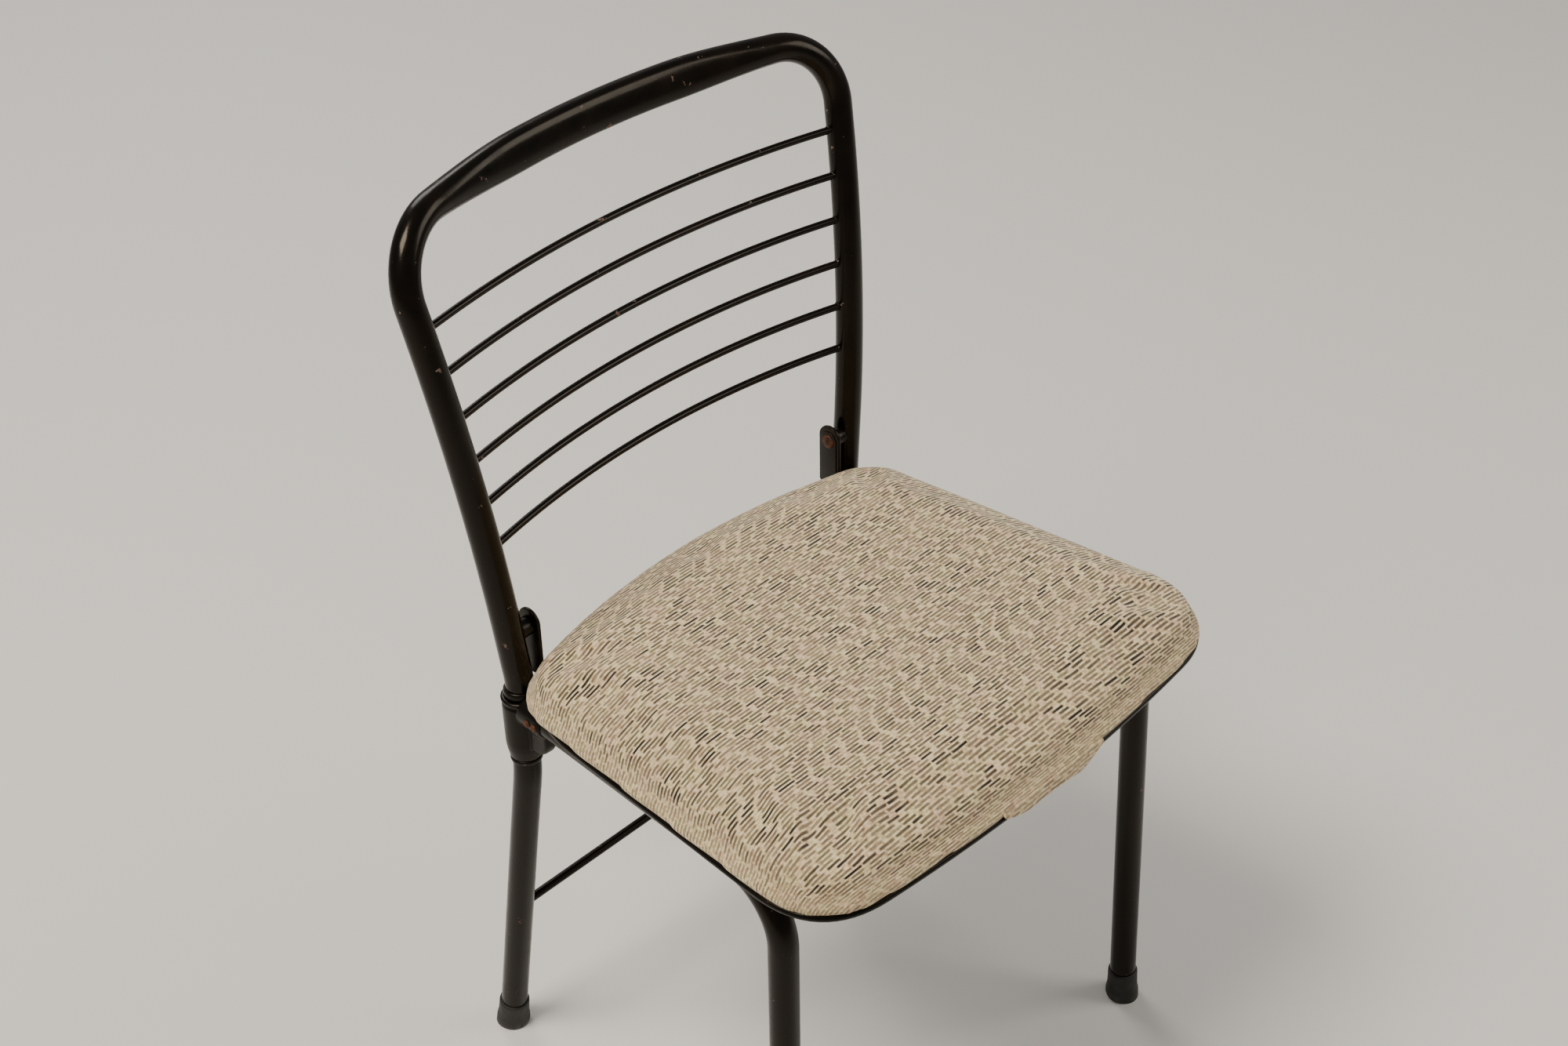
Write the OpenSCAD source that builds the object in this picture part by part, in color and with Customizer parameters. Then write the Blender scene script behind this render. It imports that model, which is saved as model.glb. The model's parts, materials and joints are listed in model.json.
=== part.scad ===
// Folding dining chair: bent steel tube, six back wires, a padded seat that
// flips up, and two gates (side rail plus front leg) that swing in behind it.
// Millimetres, +Z up, the chair faces -Y, origin on the floor under its middle.

/* [Tube frame] */
// Outside diameter of the frame tube
tube_d = 22.2; // [19:0.1:25.4]
// Wall of the frame tube
tube_wall = 1.5; // [1:0.1:2.5]
// Height of the top rail's centre line
top_rail_z = 778.5; // [700:0.5:860]
// Half the width between centre lines at the top corners
top_half_w = 220; // [190:1:240]
// How far the top rail bows to the rear
top_rail_bow = 34; // [15:1:60]
// Height of the flattened top rail
top_rail_h = 30; // [24:1:36]
// Depth of the flattened top rail
top_rail_d = 18; // [14:1:22]
// Bend radius of the top corners
top_corner_r = 52; // [35:1:80]
// Half the spacing of the rear legs where the gates hinge
hinge_half_w = 182; // [160:1:210]
// Half the spacing of the rear feet
rear_foot_half_w = 175; // [150:1:210]
// How far the rear feet stand behind the hinge
rear_foot_back = 46; // [20:1:80]

/* [Back wires] */
// Diameter of a back wire
wire_d = 6; // [4:0.5:8]
// Height of the top wire
wire_top_z = 708; // [640:1:740]
// Spacing of the wires
wire_pitch = 35.5; // [25:0.5:42]
// How far each wire bows to the rear
wire_bow = 25; // [10:1:40]

/* [Cross rod] */
// Diameter of the rod between the rear legs
rod_d = 7.5; // [5:0.5:12]
// Height of the rod
rod_z = 155; // [100:1:220]

/* [Seat] */
// Half width of the seat at the hinge line
seat_half_w = 199; // [185:1:215]
// Extra half width for each millimetre towards the front
seat_taper = 0.0907; // [0:0.01:0.15]
// Hinge line to the front corners
seat_front = 344; // [300:1:380]
// Hinge line to the rear corners
seat_rear = 17; // [8:1:24]
// Bow of the front edge
front_bow = 16.5; // [0:0.5:30]
// Bow of the rear edge
rear_bow = 35; // [15:0.5:45]
// Rounding of the front corners
front_corner = 62; // [40:1:90]
// Rounding of the rear corners
rear_corner = 66; // [50:1:90]
// Backward tilt of the seat, degrees
seat_tilt = 2.9; // [0:0.1:5]
// Thickness of the foam
foam_h = 19; // [15:1:26]
// Thickness of the plywood under the foam
board_h = 6; // [4:0.5:9]
// Thickness of the fabric cover
cover_t = 1.2; // [0.8:0.1:2]
// Sheet thickness of the pan
pan_t = 1.2; // [0.8:0.1:2]
// Height of the pan's rolled rim
rim_h = 11; // [10:0.5:14]

/* [Gates] */
// Height of the side rails' centre line at the hinge
rail_z = 390; // [360:1:420]
// Hinge line to the front leg
rail_run = 288; // [250:1:310]
// Half the spacing of the front legs at the top
front_top_half_w = 203.5; // [190:0.5:215]
// Half the spacing of the front feet
front_foot_half_w = 214; // [190:1:240]
// How far the front feet stand ahead of the leg tops
front_foot_ahead = 29; // [0:1:60]
// Bend radius between side rail and front leg
front_bend_r = 48; // [35:1:70]

/* [Knuckle] */
// Outside radius of the knuckle sleeve
sleeve_r = 14.8; // [13.8:0.1:17]
// Sleeve length below the rail's centre line
sleeve_down = 49; // [45:1:58]
// Sleeve length above the rail's centre line
sleeve_up = 9; // [5:1:10.5]
// Running gap between sleeve and leg
sleeve_gap = 0.05; // [0.02:0.01:0.1]
// Reach of the gusset in front of the hinge
gusset_reach = 36; // [30:1:44]
// Depth of the gusset below the rail's centre line
gusset_drop = 36; // [26:1:42]

/* [Seat pivot] */
// Height of the seat pivots above the rails' centre line
pivot_rise = 64; // [62:1:75]
// Radius of the pivot rivets
pivot_r = 4; // [3:0.5:5]
// Thickness of the hinge arms
arm_t = 3; // [2:0.5:4]
// Width of a hinge arm
arm_w = 22; // [18:1:26]

/* [Feet] */
// Height of a rubber foot
foot_h = 30; // [20:1:40]
// Radius of a rubber foot at the floor
foot_r = 14.2; // [13.5:0.1:18]
// Rubber under the end of the tube
foot_floor = 5; // [3:0.5:8]

/* [Hidden] */
$fn = 64;
tube_r = tube_d / 2;
bore_r = tube_r - tube_wall;
clear = 0.3;
slip = 0.05;
lap = 1;
bend_step = 0.03;
// straight stretch of the rear leg that carries the knuckle, along the hinge axis
grip_down = sleeve_down + 17;
grip_up = 21;
// local z of the pan's layers, measured from the rails' centre line
rim_z = tube_r + clear;
pan_z = rim_z + rim_h;
board_z = pan_z + pan_t;
foam_z = board_z + board_h;
// the pan stands this far out of the cushion
rim_out = 2.5;
// rubber disc and steel washer in each foot
disc_t = 1;
// seat hinge arm with its rounded end above the rivet, its rivets and screws
arm_x = hinge_half_w - tube_r - 3.4;
ear_rise = 3;
flange_run = 46;
head_h = 2.2;
screw_r = 2;
rivet_r = 2.5;
// stop rings on the rear legs
ring_r = tube_r + 1.9;
ring_h = 7;
low_ring_r = tube_r + 1.4;
low_ring_h = 4;
// gusset plate under the rail socket
gusset_t = 12;
gusset_round = 17;
socket_wall = 2.2;
socket_start = sleeve_r - 1;
knuckle_rivet_y = [-23, -31];
// clearance of the pan round the arms, and where the screws stand in the seat plane
arm_gap = 1;
screw_spots = [[150, -60], [165, -270]];
arm_screw_y = [-22, -42];

// heights and places along the rear frame, right-hand side
function tilt_y(z) = (z - rail_z) * tan(seat_tilt);
grip_low = [hinge_half_w, tilt_y(rail_z - grip_down), rail_z - grip_down];
grip_top = [hinge_half_w, tilt_y(rail_z + grip_up), rail_z + grip_up];
rear_foot = [rear_foot_half_w, grip_low[1] + rear_foot_back, 0];
// the uprights lean back in two stretches joined by one long bend
lean_low = 0.085;
lean_high = 0.275;
knee_z = (grip_top[2] + top_rail_z) / 2;
knee_rise = knee_z - grip_top[2];
knee = [hinge_half_w + (top_half_w - hinge_half_w) * knee_rise / (top_rail_z - grip_top[2]),
        grip_top[1] + lean_low * knee_rise, knee_z];
corner = [top_half_w, knee[1] + lean_high * (top_rail_z - knee_z), top_rail_z];
foot_bend_r = 120;
grip_bend_r = 160;
knee_r = 1450;
// top rail: the bend's apex is placed so that the finished rail has the stated bow
rail_reach = top_half_w - top_corner_r;
apex_out = top_rail_bow / (1 - rail_reach / (2 * top_half_w));
apex = [0, corner[1] + apex_out, top_rail_z];
rail_turn = 2 * atan(apex_out / top_half_w);
rail_r = rail_reach / tan(rail_turn / 2);
rail_lean = atan(lean_high);

function left(p) = [-p[0], p[1], p[2]];
half_path = [rear_foot, grip_low, grip_top, knee, corner];
half_bends = [0, foot_bend_r, grip_bend_r, knee_r, top_corner_r];

// the chair's middle from front to back sits at y = 0
rail_back = apex[1] - rail_r * (1 / cos(rail_turn / 2) - 1) + top_rail_d / 2
    + (top_rail_h - top_rail_d) / 2 * sin(rail_lean);
seat_nose = -(seat_front + front_bow + rim_out) * cos(seat_tilt) + rim_z * sin(seat_tilt);
depth_shift = -(rail_back + seat_nose) / 2;

// ---------------------------------------------------------------- geometry helpers
function unit(v) = v / norm(v);
function turn_at(a, b, c) = acos(max(-1, min(1, unit(b - a) * unit(c - b))));
function reach_at(a, b, c, bend_r) = bend_r * tan(turn_at(a, b, c) / 2);

// straight bar from p to q
module bar(p, q, r) {
    d = q - p;
    translate(p) rotate([0, acos(d[2] / norm(d)), atan2(d[1], d[0])]) cylinder(h = norm(d), r = r);
}

// moves a shape turned about Z at the origin so that it turns the corner a-b-c
module on_bend(a, b, c, bend_r) {
    u = unit(b - a);
    n = unit(cross(u, unit(c - b)));
    out = -cross(n, u);
    centre = b - u * reach_at(a, b, c, bend_r) - out * bend_r;
    multmatrix([[out[0], u[0], n[0], centre[0]],
                [out[1], u[1], n[1], centre[1]],
                [out[2], u[2], n[2], centre[2]],
                [0, 0, 0, 1]])
        children();
}

// round bar along a path, with a bend of its own radius at each inner point.
// Each bend starts lap inside its straight neighbours and is a hair slimmer.
module bent_bar(path, bends, r) {
    last = len(path) - 1;
    reach = [for (i = [0 : last])
        i == 0 || i == last ? 0 : reach_at(path[i - 1], path[i], path[i + 1], bends[i]) - lap];
    for (i = [0 : last - 1]) {
        u = unit(path[i + 1] - path[i]);
        bar(path[i] + u * reach[i], path[i + 1] - u * reach[i + 1], r);
    }
    for (i = [1 : last - 1])
        on_bend(path[i - 1], path[i], path[i + 1], bends[i])
            rotate_extrude(angle = turn_at(path[i - 1], path[i], path[i + 1]))
                translate([bends[i], 0]) circle(r - bend_step);
}

// the two sides share one shape
module both() {
    children();
    mirror([1, 0, 0]) children();
}

module side(s) {
    if (s < 0) mirror([1, 0, 0]) children();
    else children();
}

// everything on the chair is drawn about the hinge line and then shifted
module chair() {
    translate([0, depth_shift, 0]) children();
}

// seat plane: origin on the hinge line at rail height, +Z along the hinge axes
module seat_plane() {
    chair() translate([0, 0, rail_z]) rotate([-seat_tilt, 0, 0]) children();
}

// a point of the chair in the seat plane's own frame
function to_seat(p) = [p[0], p[1] * cos(seat_tilt) - (p[2] - rail_z) * sin(seat_tilt),
                       p[1] * sin(seat_tilt) + (p[2] - rail_z) * cos(seat_tilt)];

// centre line of the upright at height z between grip and corner
knee_reach = reach_at(grip_top, knee, corner, knee_r);
knee_in = knee - unit(knee - grip_top) * knee_reach;
knee_out = knee + unit(corner - knee) * knee_reach;
function along(p, q, z) = p + (q - p) * (z - p[2]) / (q[2] - p[2]);
function blend3(a, b, c, t) = a * (1 - t) * (1 - t) + b * 2 * t * (1 - t) + c * t * t;
function upright_at(z) = z < knee_in[2] ? along(grip_top, knee, z)
    : z > knee_out[2] ? along(knee, corner, z)
    : blend3(knee_in, knee, knee_out, (z - knee_in[2]) / (knee_out[2] - knee_in[2]));

// ---------------------------------------------------------------- frame and welded parts
module flat_oval(shrink) {
    lobe = top_rail_d / 2;
    rotate(-rail_lean) {
        for (s = [-1, 1]) translate([0, s * (top_rail_h / 2 - lobe)]) circle(lobe - shrink);
        square([2 * (lobe - shrink), top_rail_h - 2 * lobe], center = true);
    }
}

// foot end of the rear leg starts above the rubber
rear_start = rear_foot + unit(grip_low - rear_foot) * foot_floor;

module upright_solid(r) {
    bent_bar([grip_low, grip_top, knee, corner, apex], [0, grip_bend_r, knee_r, top_corner_r, 0], r);
}

// rear frame below the top rail, one side, stopping where the corner bend ends
module half_frame(r) {
    path = concat([rear_start], [for (i = [1 : 4]) half_path[i]]);
    stub = corner + unit(apex - corner) * (reach_at(knee, corner, apex, top_corner_r) + 2);
    bent_bar(concat(path, [stub]), concat(half_bends, [0]), r);
}

module top_rail(shrink) {
    start = reach_at(knee, corner, apex, top_corner_r);
    out = norm(apex - corner) - start;
    full_r = out / tan(rail_turn / 2);
    translate([0, apex[1] - full_r / cos(rail_turn / 2), top_rail_z])
        rotate([0, 0, 90 - rail_turn / 2])
            rotate_extrude(angle = rail_turn) translate([full_r, 0]) flat_oval(shrink);
}

module back_frame() {
    color("#1c1a17") chair() difference() {
        union() {
            both() half_frame(tube_r);
            top_rail(0);
        }
        both() half_frame(bore_r);
        top_rail(tube_wall);
        both() seat_rivet_hole();
    }
}

function wire_z(i) = wire_top_z - wire_pitch * (i - 1);

module back_wire(i) {
    at = upright_at(wire_z(i));
    half = at[0];
    r = (half * half + wire_bow * wire_bow) / (2 * wire_bow);
    spread = asin(half / r);
    color("#1c1a17") chair() difference() {
        translate([0, at[1] + wire_bow - r, wire_z(i)]) rotate([0, 0, 90 - spread])
            rotate_extrude(angle = 2 * spread) translate([r, 0]) circle(d = wire_d);
        both() upright_solid(tube_r);
    }
}

module rear_cross_rod() {
    at = along(rear_foot, grip_low, rod_z);
    color("#1c1a17") chair() difference() {
        bar(left(at), at, rod_d / 2);
        both() bar(rear_start, grip_low, tube_r);
    }
}

// rings welded on the leg above and below the knuckle
module stop_rings(s) {
    color("#241d18") side(s) seat_plane() translate([hinge_half_w, 0, 0]) {
        translate([0, 0, sleeve_up + clear]) difference() {
            cylinder(h = ring_h, r = ring_r);
            translate([0, 0, -1]) cylinder(h = ring_h + 2, r = tube_r);
        }
        translate([0, 0, -sleeve_down - clear - low_ring_h]) difference() {
            cylinder(h = low_ring_h, r = low_ring_r);
            translate([0, 0, -1]) cylinder(h = low_ring_h + 2, r = tube_r);
        }
    }
}

// ---------------------------------------------------------------- seat pivots
pivot_z = rail_z + pivot_rise;
pivot_at = upright_at(pivot_z);
rivet_in = arm_x - arm_t;

module pivot_axis() {
    translate([0, pivot_at[1], pivot_z]) rotate([0, 90, 0]) children();
}

module seat_rivet_hole() {
    pivot_axis() translate([0, 0, rivet_in]) cylinder(h = pivot_at[0] - rivet_in, r = pivot_r);
}

// rivet: a tail inside the tube, the shank through its inner wall, and a head on the arm
module seat_rivet(s) {
    tail = pivot_at[0] - tube_r + tube_wall;
    color("#6b4a34") side(s) chair() pivot_axis() {
        translate([0, 0, rivet_in - slip]) cylinder(h = tail + 3 - rivet_in + slip, r = pivot_r);
        translate([0, 0, rivet_in - slip - 2.4]) cylinder(h = 2.4, r = 6.5);
    }
}

// spacer between the tube and the arm, coped to the tube
module pivot_bush(s) {
    color("#241d18") side(s) chair() difference() {
        pivot_axis() translate([0, 0, arm_x + slip])
            cylinder(h = pivot_at[0] - arm_x - slip, r = 7.5);
        upright_solid(tube_r);
        pivot_axis() cylinder(h = pivot_at[0], r = pivot_r);
    }
}

// ---------------------------------------------------------------- rubber feet
// drawn about the leg's own axis, cut level at the floor
module foot_cup(axis_from, axis_to) {
    d = unit(axis_to - axis_from);
    skirt = 10;
    difference() {
        translate(axis_from) rotate([0, acos(d[2]), atan2(d[1], d[0])]) rotate([0, 0, 90]) difference() {
            union() {
                translate([0, 0, -skirt]) cylinder(h = 2 * skirt, r = foot_r);
                translate([0, 0, skirt])
                    cylinder(h = foot_h - skirt, r1 = foot_r - 0.6, r2 = tube_r + 1.4);
            }
            translate([0, 0, foot_floor - disc_t]) cylinder(h = foot_h, r = tube_r);
        }
        translate(axis_from - [40, 40, 40]) cube([80, 80, 40]);
    }
}

module foot_disc(axis_from, axis_to) {
    d = unit(axis_to - axis_from);
    bar(axis_from + d * (foot_floor - disc_t), axis_from + d * foot_floor, tube_r - 0.5);
}

module rear_foot_cup(s) {
    color("#141414") side(s) chair() foot_cup(rear_foot, grip_low);
}

module rear_foot_washers() {
    color("#8a8a8a") chair() both() foot_disc(rear_foot, grip_low);
}

// ---------------------------------------------------------------- seat
// rounded outline in the seat plane, drawn in by inset on every side
function edge_y(x, y0, bow, w) = y0 + bow * (1 - (x / w) * (x / w));
function seat_corner(y0, bow, w, slope, size, inset) =
    let (x1 = w - size,
         y1 = edge_y(x1, y0, bow, w),
         m = -2 * bow * x1 / (w * w),
         base = seat_half_w - inset,
         cx = (base - slope * (y1 - m * x1)) / (1 + slope * m),
         cy = y1 + m * (cx - x1),
         y2 = y0 + (bow < 0 ? size : -size))
    [[x1, y1], [cx, cy], [base - slope * y2, y2]];
function arc_points(k, n) = [for (i = [0 : n]) blend3(k[0], k[1], k[2], i / n)];
function flip_list(a) = [for (i = [len(a) - 1 : -1 : 0]) a[i]];

module seat_outline(inset) {
    yf = -seat_front + inset;
    yr = -seat_rear - inset;
    wf = seat_half_w - inset - seat_taper * yf;
    wr = seat_half_w - inset - seat_taper * yr;
    front = arc_points(seat_corner(yf, -front_bow, wf, seat_taper, front_corner - inset, inset), 10);
    rear = arc_points(seat_corner(yr, rear_bow, wr, seat_taper, rear_corner - inset, inset), 10);
    fx = front[0][0];
    rx = rear[0][0];
    front_edge = [for (i = [0 : 6]) [fx * i / 7, edge_y(fx * i / 7, yf, -front_bow, wf)]];
    rear_edge = [for (i = [1 : 6]) [rx * i / 7, edge_y(rx * i / 7, yr, rear_bow, wr)]];
    right_side = concat(front_edge, front, flip_list(rear), flip_list(rear_edge));
    top_mid = [[0, yr + rear_bow]];
    left_side = [for (i = [len(right_side) - 1 : -1 : 1]) [-right_side[i][0], right_side[i][1]]];
    polygon(concat(right_side, top_mid, left_side));
}

module slab(z, h, inset) {
    translate([0, 0, z]) linear_extrude(height = h) seat_outline(inset);
}

pivot_seat = to_seat([0, pivot_at[1], pivot_z]);

module arm_notch() {
    translate([arm_x - arm_t - 13, -flange_run - 4, rim_z - 1])
        cube([13 + arm_t + arm_gap, flange_run + 80, rim_h + 1]);
}

module seat_pan() {
    color("#171615") seat_plane() difference() {
        union() {
            slab(pan_z, pan_t, 0);
            difference() {
                slab(rim_z, rim_h, -rim_out);
                slab(rim_z - 1, rim_h + 2, 5);
            }
        }
        both() arm_notch();
        both() for (p = screw_spots) translate([p[0], p[1], pan_z - 1]) cylinder(h = 4, r = screw_r);
        both() for (y = arm_screw_y) arm_screw_hole(y);
    }
}

module arm_screw_hole(y) {
    translate([arm_x - arm_t - 5, y, rim_z]) cylinder(h = rim_h + pan_t + 4.5, r = screw_r);
}

module seat_board() {
    color("#b98f5c") seat_plane() difference() {
        slab(board_z, board_h, 3);
        both() for (p = screw_spots) translate([p[0], p[1], board_z - 1]) cylinder(h = 5.5, r = screw_r);
        both() for (y = arm_screw_y) arm_screw_hole(y);
    }
}

module seat_foam() {
    color("#d9c46a") seat_plane() slab(foam_z, foam_h, 3);
}

module seat_cover() {
    color("#a89c88") seat_plane() difference() {
        slab(board_z, board_h + foam_h + cover_t, 3 - cover_t);
        slab(board_z - 1, board_h + foam_h + 1, 3);
    }
}

// stamped arm: an upright ear on the rivet, turned under the pan as a flange
module hinge_arm(s) {
    ear_h = pivot_seat[2] + ear_rise - (pan_z - arm_t);
    color("#241d18") side(s) difference() {
        seat_plane() {
            translate([arm_x - arm_t, 0, 0]) rotate([90, 0, 90]) linear_extrude(height = arm_t) {
                translate([pivot_seat[1], pivot_seat[2] + ear_rise]) circle(arm_w / 2);
                translate([pivot_seat[1] - arm_w / 2, pan_z - arm_t]) square([arm_w, ear_h]);
                translate([-flange_run, pan_z - arm_t])
                    square([flange_run + pivot_seat[1], arm_t]);
            }
            translate([arm_x - arm_t - 10, -flange_run, pan_z - arm_t])
                cube([10 + arm_t, flange_run - 12, arm_t]);
        }
        chair() pivot_axis() translate([0, 0, arm_x - arm_t - 5])
            cylinder(h = arm_t + 10, r = pivot_r + slip);
        seat_plane() for (y = arm_screw_y) arm_screw_hole(y);
    }
}

module screw(z_head, length) {
    translate([0, 0, z_head - head_h]) cylinder(h = head_h, r = 3.6);
    translate([0, 0, z_head]) cylinder(h = length, r = screw_r);
}

module arm_screws() {
    color("#8d8d8a") seat_plane() both() for (y = arm_screw_y)
        translate([arm_x - arm_t - 5, y, 0]) screw(pan_z - arm_t, arm_t + pan_t + 4.5);
}

module board_screws() {
    color("#8d8d8a") seat_plane() both() for (p = screw_spots)
        translate([p[0], p[1], 0]) screw(pan_z, pan_t + 4.5);
}

// ---------------------------------------------------------------- gates
// front leg top in chair coordinates, in the plane of the rails
leg_top = [front_top_half_w, -rail_run * cos(seat_tilt), rail_z + rail_run * sin(seat_tilt)];
front_foot = [front_foot_half_w, leg_top[1] - front_foot_ahead, 0];
rail_root = [hinge_half_w, 0, rail_z];
rail_dir = unit(leg_top - rail_root);

module gate_path(r) {
    start = rail_root + rail_dir * (socket_start + 2);
    finish = front_foot + unit(leg_top - front_foot) * foot_floor;
    bent_bar([start, leg_top, finish], [0, front_bend_r, 0], r);
}

// seat-plane frame turned so that -Y runs along the side rail
module on_rail(s) {
    side(s) seat_plane() translate([hinge_half_w, 0, 0])
        rotate([0, 0, atan((front_top_half_w - hinge_half_w) / rail_run)]) children();
}

module knuckle_rivet_shank(extra) {
    for (y = knuckle_rivet_y) translate([-tube_r - socket_wall - extra, y, 0]) rotate([0, 90, 0])
        cylinder(h = 2 * (tube_r + socket_wall + extra), r = rivet_r);
}

module gate_tube(s) {
    color("#1c1a17") difference() {
        side(s) chair() difference() {
            gate_path(tube_r);
            gate_path(bore_r);
        }
        on_rail(s) knuckle_rivet_shank(2);
    }
}

// plate from the sleeve to the socket, its front lower corner rounded
module gusset_outline() {
    inner = gusset_reach - gusset_round;
    translate([-gusset_reach, -gusset_drop + gusset_round])
        square([gusset_reach, gusset_drop - gusset_round]);
    translate([-inner, -gusset_drop]) square([inner, gusset_drop]);
    translate([-inner, -gusset_drop + gusset_round]) circle(gusset_round);
}

// sleeve round the leg with a lip at its top, a socket for the rail, and a gusset below it
module knuckle(s) {
    color("#2a201a") on_rail(s) difference() {
        union() {
            translate([0, 0, -sleeve_down + 6]) cylinder(h = sleeve_up + sleeve_down - 6, r = sleeve_r);
            translate([0, 0, -sleeve_down]) cylinder(h = 6, r1 = sleeve_r - 2, r2 = sleeve_r);
            translate([0, 0, sleeve_up - 3]) cylinder(h = 3, r = sleeve_r + 0.8);
            intersection() {
                rotate([90, 0, 0]) cylinder(h = gusset_reach, r = tube_r + socket_wall);
                translate([-20, -60, -30]) cube([40, 60, 30 + tube_r]);
            }
            rotate([90, 0, 90]) translate([0, 0, -gusset_t / 2]) linear_extrude(height = gusset_t)
                gusset_outline();
        }
        translate([0, 0, -sleeve_down - 1])
            cylinder(h = sleeve_down + sleeve_up + 2, r = tube_r + sleeve_gap);
        translate([0, 0, sleeve_up]) cylinder(h = ring_h, r = ring_r + clear);
        translate([0, -socket_start - 1, 0]) rotate([90, 0, 0]) cylinder(h = gusset_reach, r = tube_r);
        knuckle_rivet_shank(2);
    }
}

module knuckle_rivets(s) {
    color("#6b4a34") on_rail(s) {
        knuckle_rivet_shank(0);
        for (y = knuckle_rivet_y, e = [-1, 1])
            translate([e * (tube_r + socket_wall), y, 0]) rotate([0, e * 90, 0]) cylinder(h = 1.6, r = 3.6);
    }
}

module front_foot_cup(s) {
    color("#141414") side(s) chair() foot_cup(front_foot, leg_top);
}

module front_foot_washer(s) {
    color("#8a8a8a") side(s) chair() foot_disc(front_foot, leg_top);
}

back_frame();
back_wire(1);  // back_wire_1
back_wire(2);  // back_wire_2
back_wire(3);  // back_wire_3
back_wire(4);  // back_wire_4
back_wire(5);  // back_wire_5
back_wire(6);  // back_wire_6
rear_cross_rod();
stop_rings(-1);  // stop_rings_left
stop_rings(1);  // stop_rings_right
seat_rivet(-1);  // seat_rivet_left
seat_rivet(1);  // seat_rivet_right
pivot_bush(-1);  // pivot_bush_left
pivot_bush(1);  // pivot_bush_right
rear_foot_cup(-1);  // rear_foot_left
rear_foot_cup(1);  // rear_foot_right
rear_foot_washers();
seat_pan();
seat_board();
seat_foam();
seat_cover();
hinge_arm(-1);  // hinge_arm_left
hinge_arm(1);  // hinge_arm_right
arm_screws();
board_screws();
gate_tube(-1);  // gate_tube_left
knuckle(-1);  // knuckle_left
knuckle_rivets(-1);  // knuckle_rivets_left
front_foot_cup(-1);  // front_foot_left
front_foot_washer(-1);  // front_foot_washer_left
gate_tube(1);  // gate_tube_right
knuckle(1);  // knuckle_right
knuckle_rivets(1);  // knuckle_rivets_right
front_foot_cup(1);  // front_foot_right
front_foot_washer(1);  // front_foot_washer_right
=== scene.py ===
"""Looks of a folding dining chair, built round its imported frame: enamelled tube, wires, knuckles, rubber feet
and a tweed seat. Metres, +Z up, the chair faces -Y."""
import json
import math

import bmesh
import bpy
import numpy as np
from mathutils import Matrix, Vector, noise
from bpy.props import FloatProperty, FloatVectorProperty, IntProperty, PointerProperty


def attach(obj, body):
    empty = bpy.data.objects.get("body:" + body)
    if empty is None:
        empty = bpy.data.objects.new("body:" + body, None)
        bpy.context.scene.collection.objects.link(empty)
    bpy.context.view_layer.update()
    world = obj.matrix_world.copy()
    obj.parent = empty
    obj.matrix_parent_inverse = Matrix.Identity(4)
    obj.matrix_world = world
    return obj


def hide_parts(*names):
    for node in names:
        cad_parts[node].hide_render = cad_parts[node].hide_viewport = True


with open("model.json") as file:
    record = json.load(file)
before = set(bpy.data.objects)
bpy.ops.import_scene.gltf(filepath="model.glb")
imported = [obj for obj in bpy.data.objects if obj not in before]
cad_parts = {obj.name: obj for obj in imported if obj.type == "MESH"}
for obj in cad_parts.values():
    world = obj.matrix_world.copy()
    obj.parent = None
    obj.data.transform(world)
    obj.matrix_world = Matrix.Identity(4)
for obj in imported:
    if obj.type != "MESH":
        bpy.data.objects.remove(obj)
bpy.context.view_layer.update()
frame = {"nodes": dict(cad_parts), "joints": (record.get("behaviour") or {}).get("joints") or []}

bl_info = {
    "name": "Folding dining chair",
    "version": (1, 0, 0),
    "blender": (4, 5, 0),
    "location": "View3D > Sidebar > Chair",
    "description": "Builds the visible pieces of a tube-framed folding chair with a tweed seat",
    "category": "Add Mesh",
}

MM = 0.001
HINGE = {joint["name"]: Vector(joint["pos_m"]) for joint in frame["joints"]}
SHIFT = HINGE["gate_left_fold"].y      # the hinge line's place from front to back
HINGE_HALF_W = HINGE["gate_right_fold"].x
RAIL_Z = HINGE["gate_left_fold"].z
TILT = math.radians(2.9)               # backward tilt of the seat and of the hinge axes
SIDES = (("left", -1), ("right", 1))


# ---------------------------------------------------------------- sizes and colours
class ChairSizes(bpy.types.PropertyGroup):
    """Sizes of the visible pieces. The frame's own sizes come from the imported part."""
    tube_radius: FloatProperty(name="Tube radius", description="Outside radius of the frame tube",
                               default=11.1 * MM, unit="LENGTH")
    rail_height: FloatProperty(name="Top rail height", description="Long side of the flattened top rail",
                               default=30 * MM, unit="LENGTH")
    rail_depth: FloatProperty(name="Top rail depth", description="Short side of the flattened top rail",
                              default=18 * MM, unit="LENGTH")
    flattening: FloatProperty(name="Flattening run", description="Length over which the tube flattens",
                              default=110 * MM, unit="LENGTH")
    wire_radius: FloatProperty(name="Wire radius", description="Radius of a back wire", default=3 * MM,
                               unit="LENGTH")
    rod_radius: FloatProperty(name="Rod radius", description="Radius of the lower rod", default=3.75 * MM,
                              unit="LENGTH")
    bead_radius: FloatProperty(name="Rim bead radius", description="Radius of the pan's rolled rim",
                               default=3.1 * MM, unit="LENGTH")
    seat_crown: FloatProperty(name="Seat crown", description="How far the cushion may swell",
                              default=6 * MM, unit="LENGTH")
    cloth_voxel: FloatProperty(name="Cushion voxel", description="Grid that the cushion is remeshed on",
                               default=5 * MM, unit="LENGTH")
    tube_sides: IntProperty(name="Tube sides", description="Faces round a tube", default=40, min=12)


def colour_property(label, hint, value):
    return FloatVectorProperty(name=label, description=hint, subtype="COLOR_GAMMA", size=3, min=0, max=1,
                               default=[int(value[i:i + 2], 16) / 255 for i in (1, 3, 5)])


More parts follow.
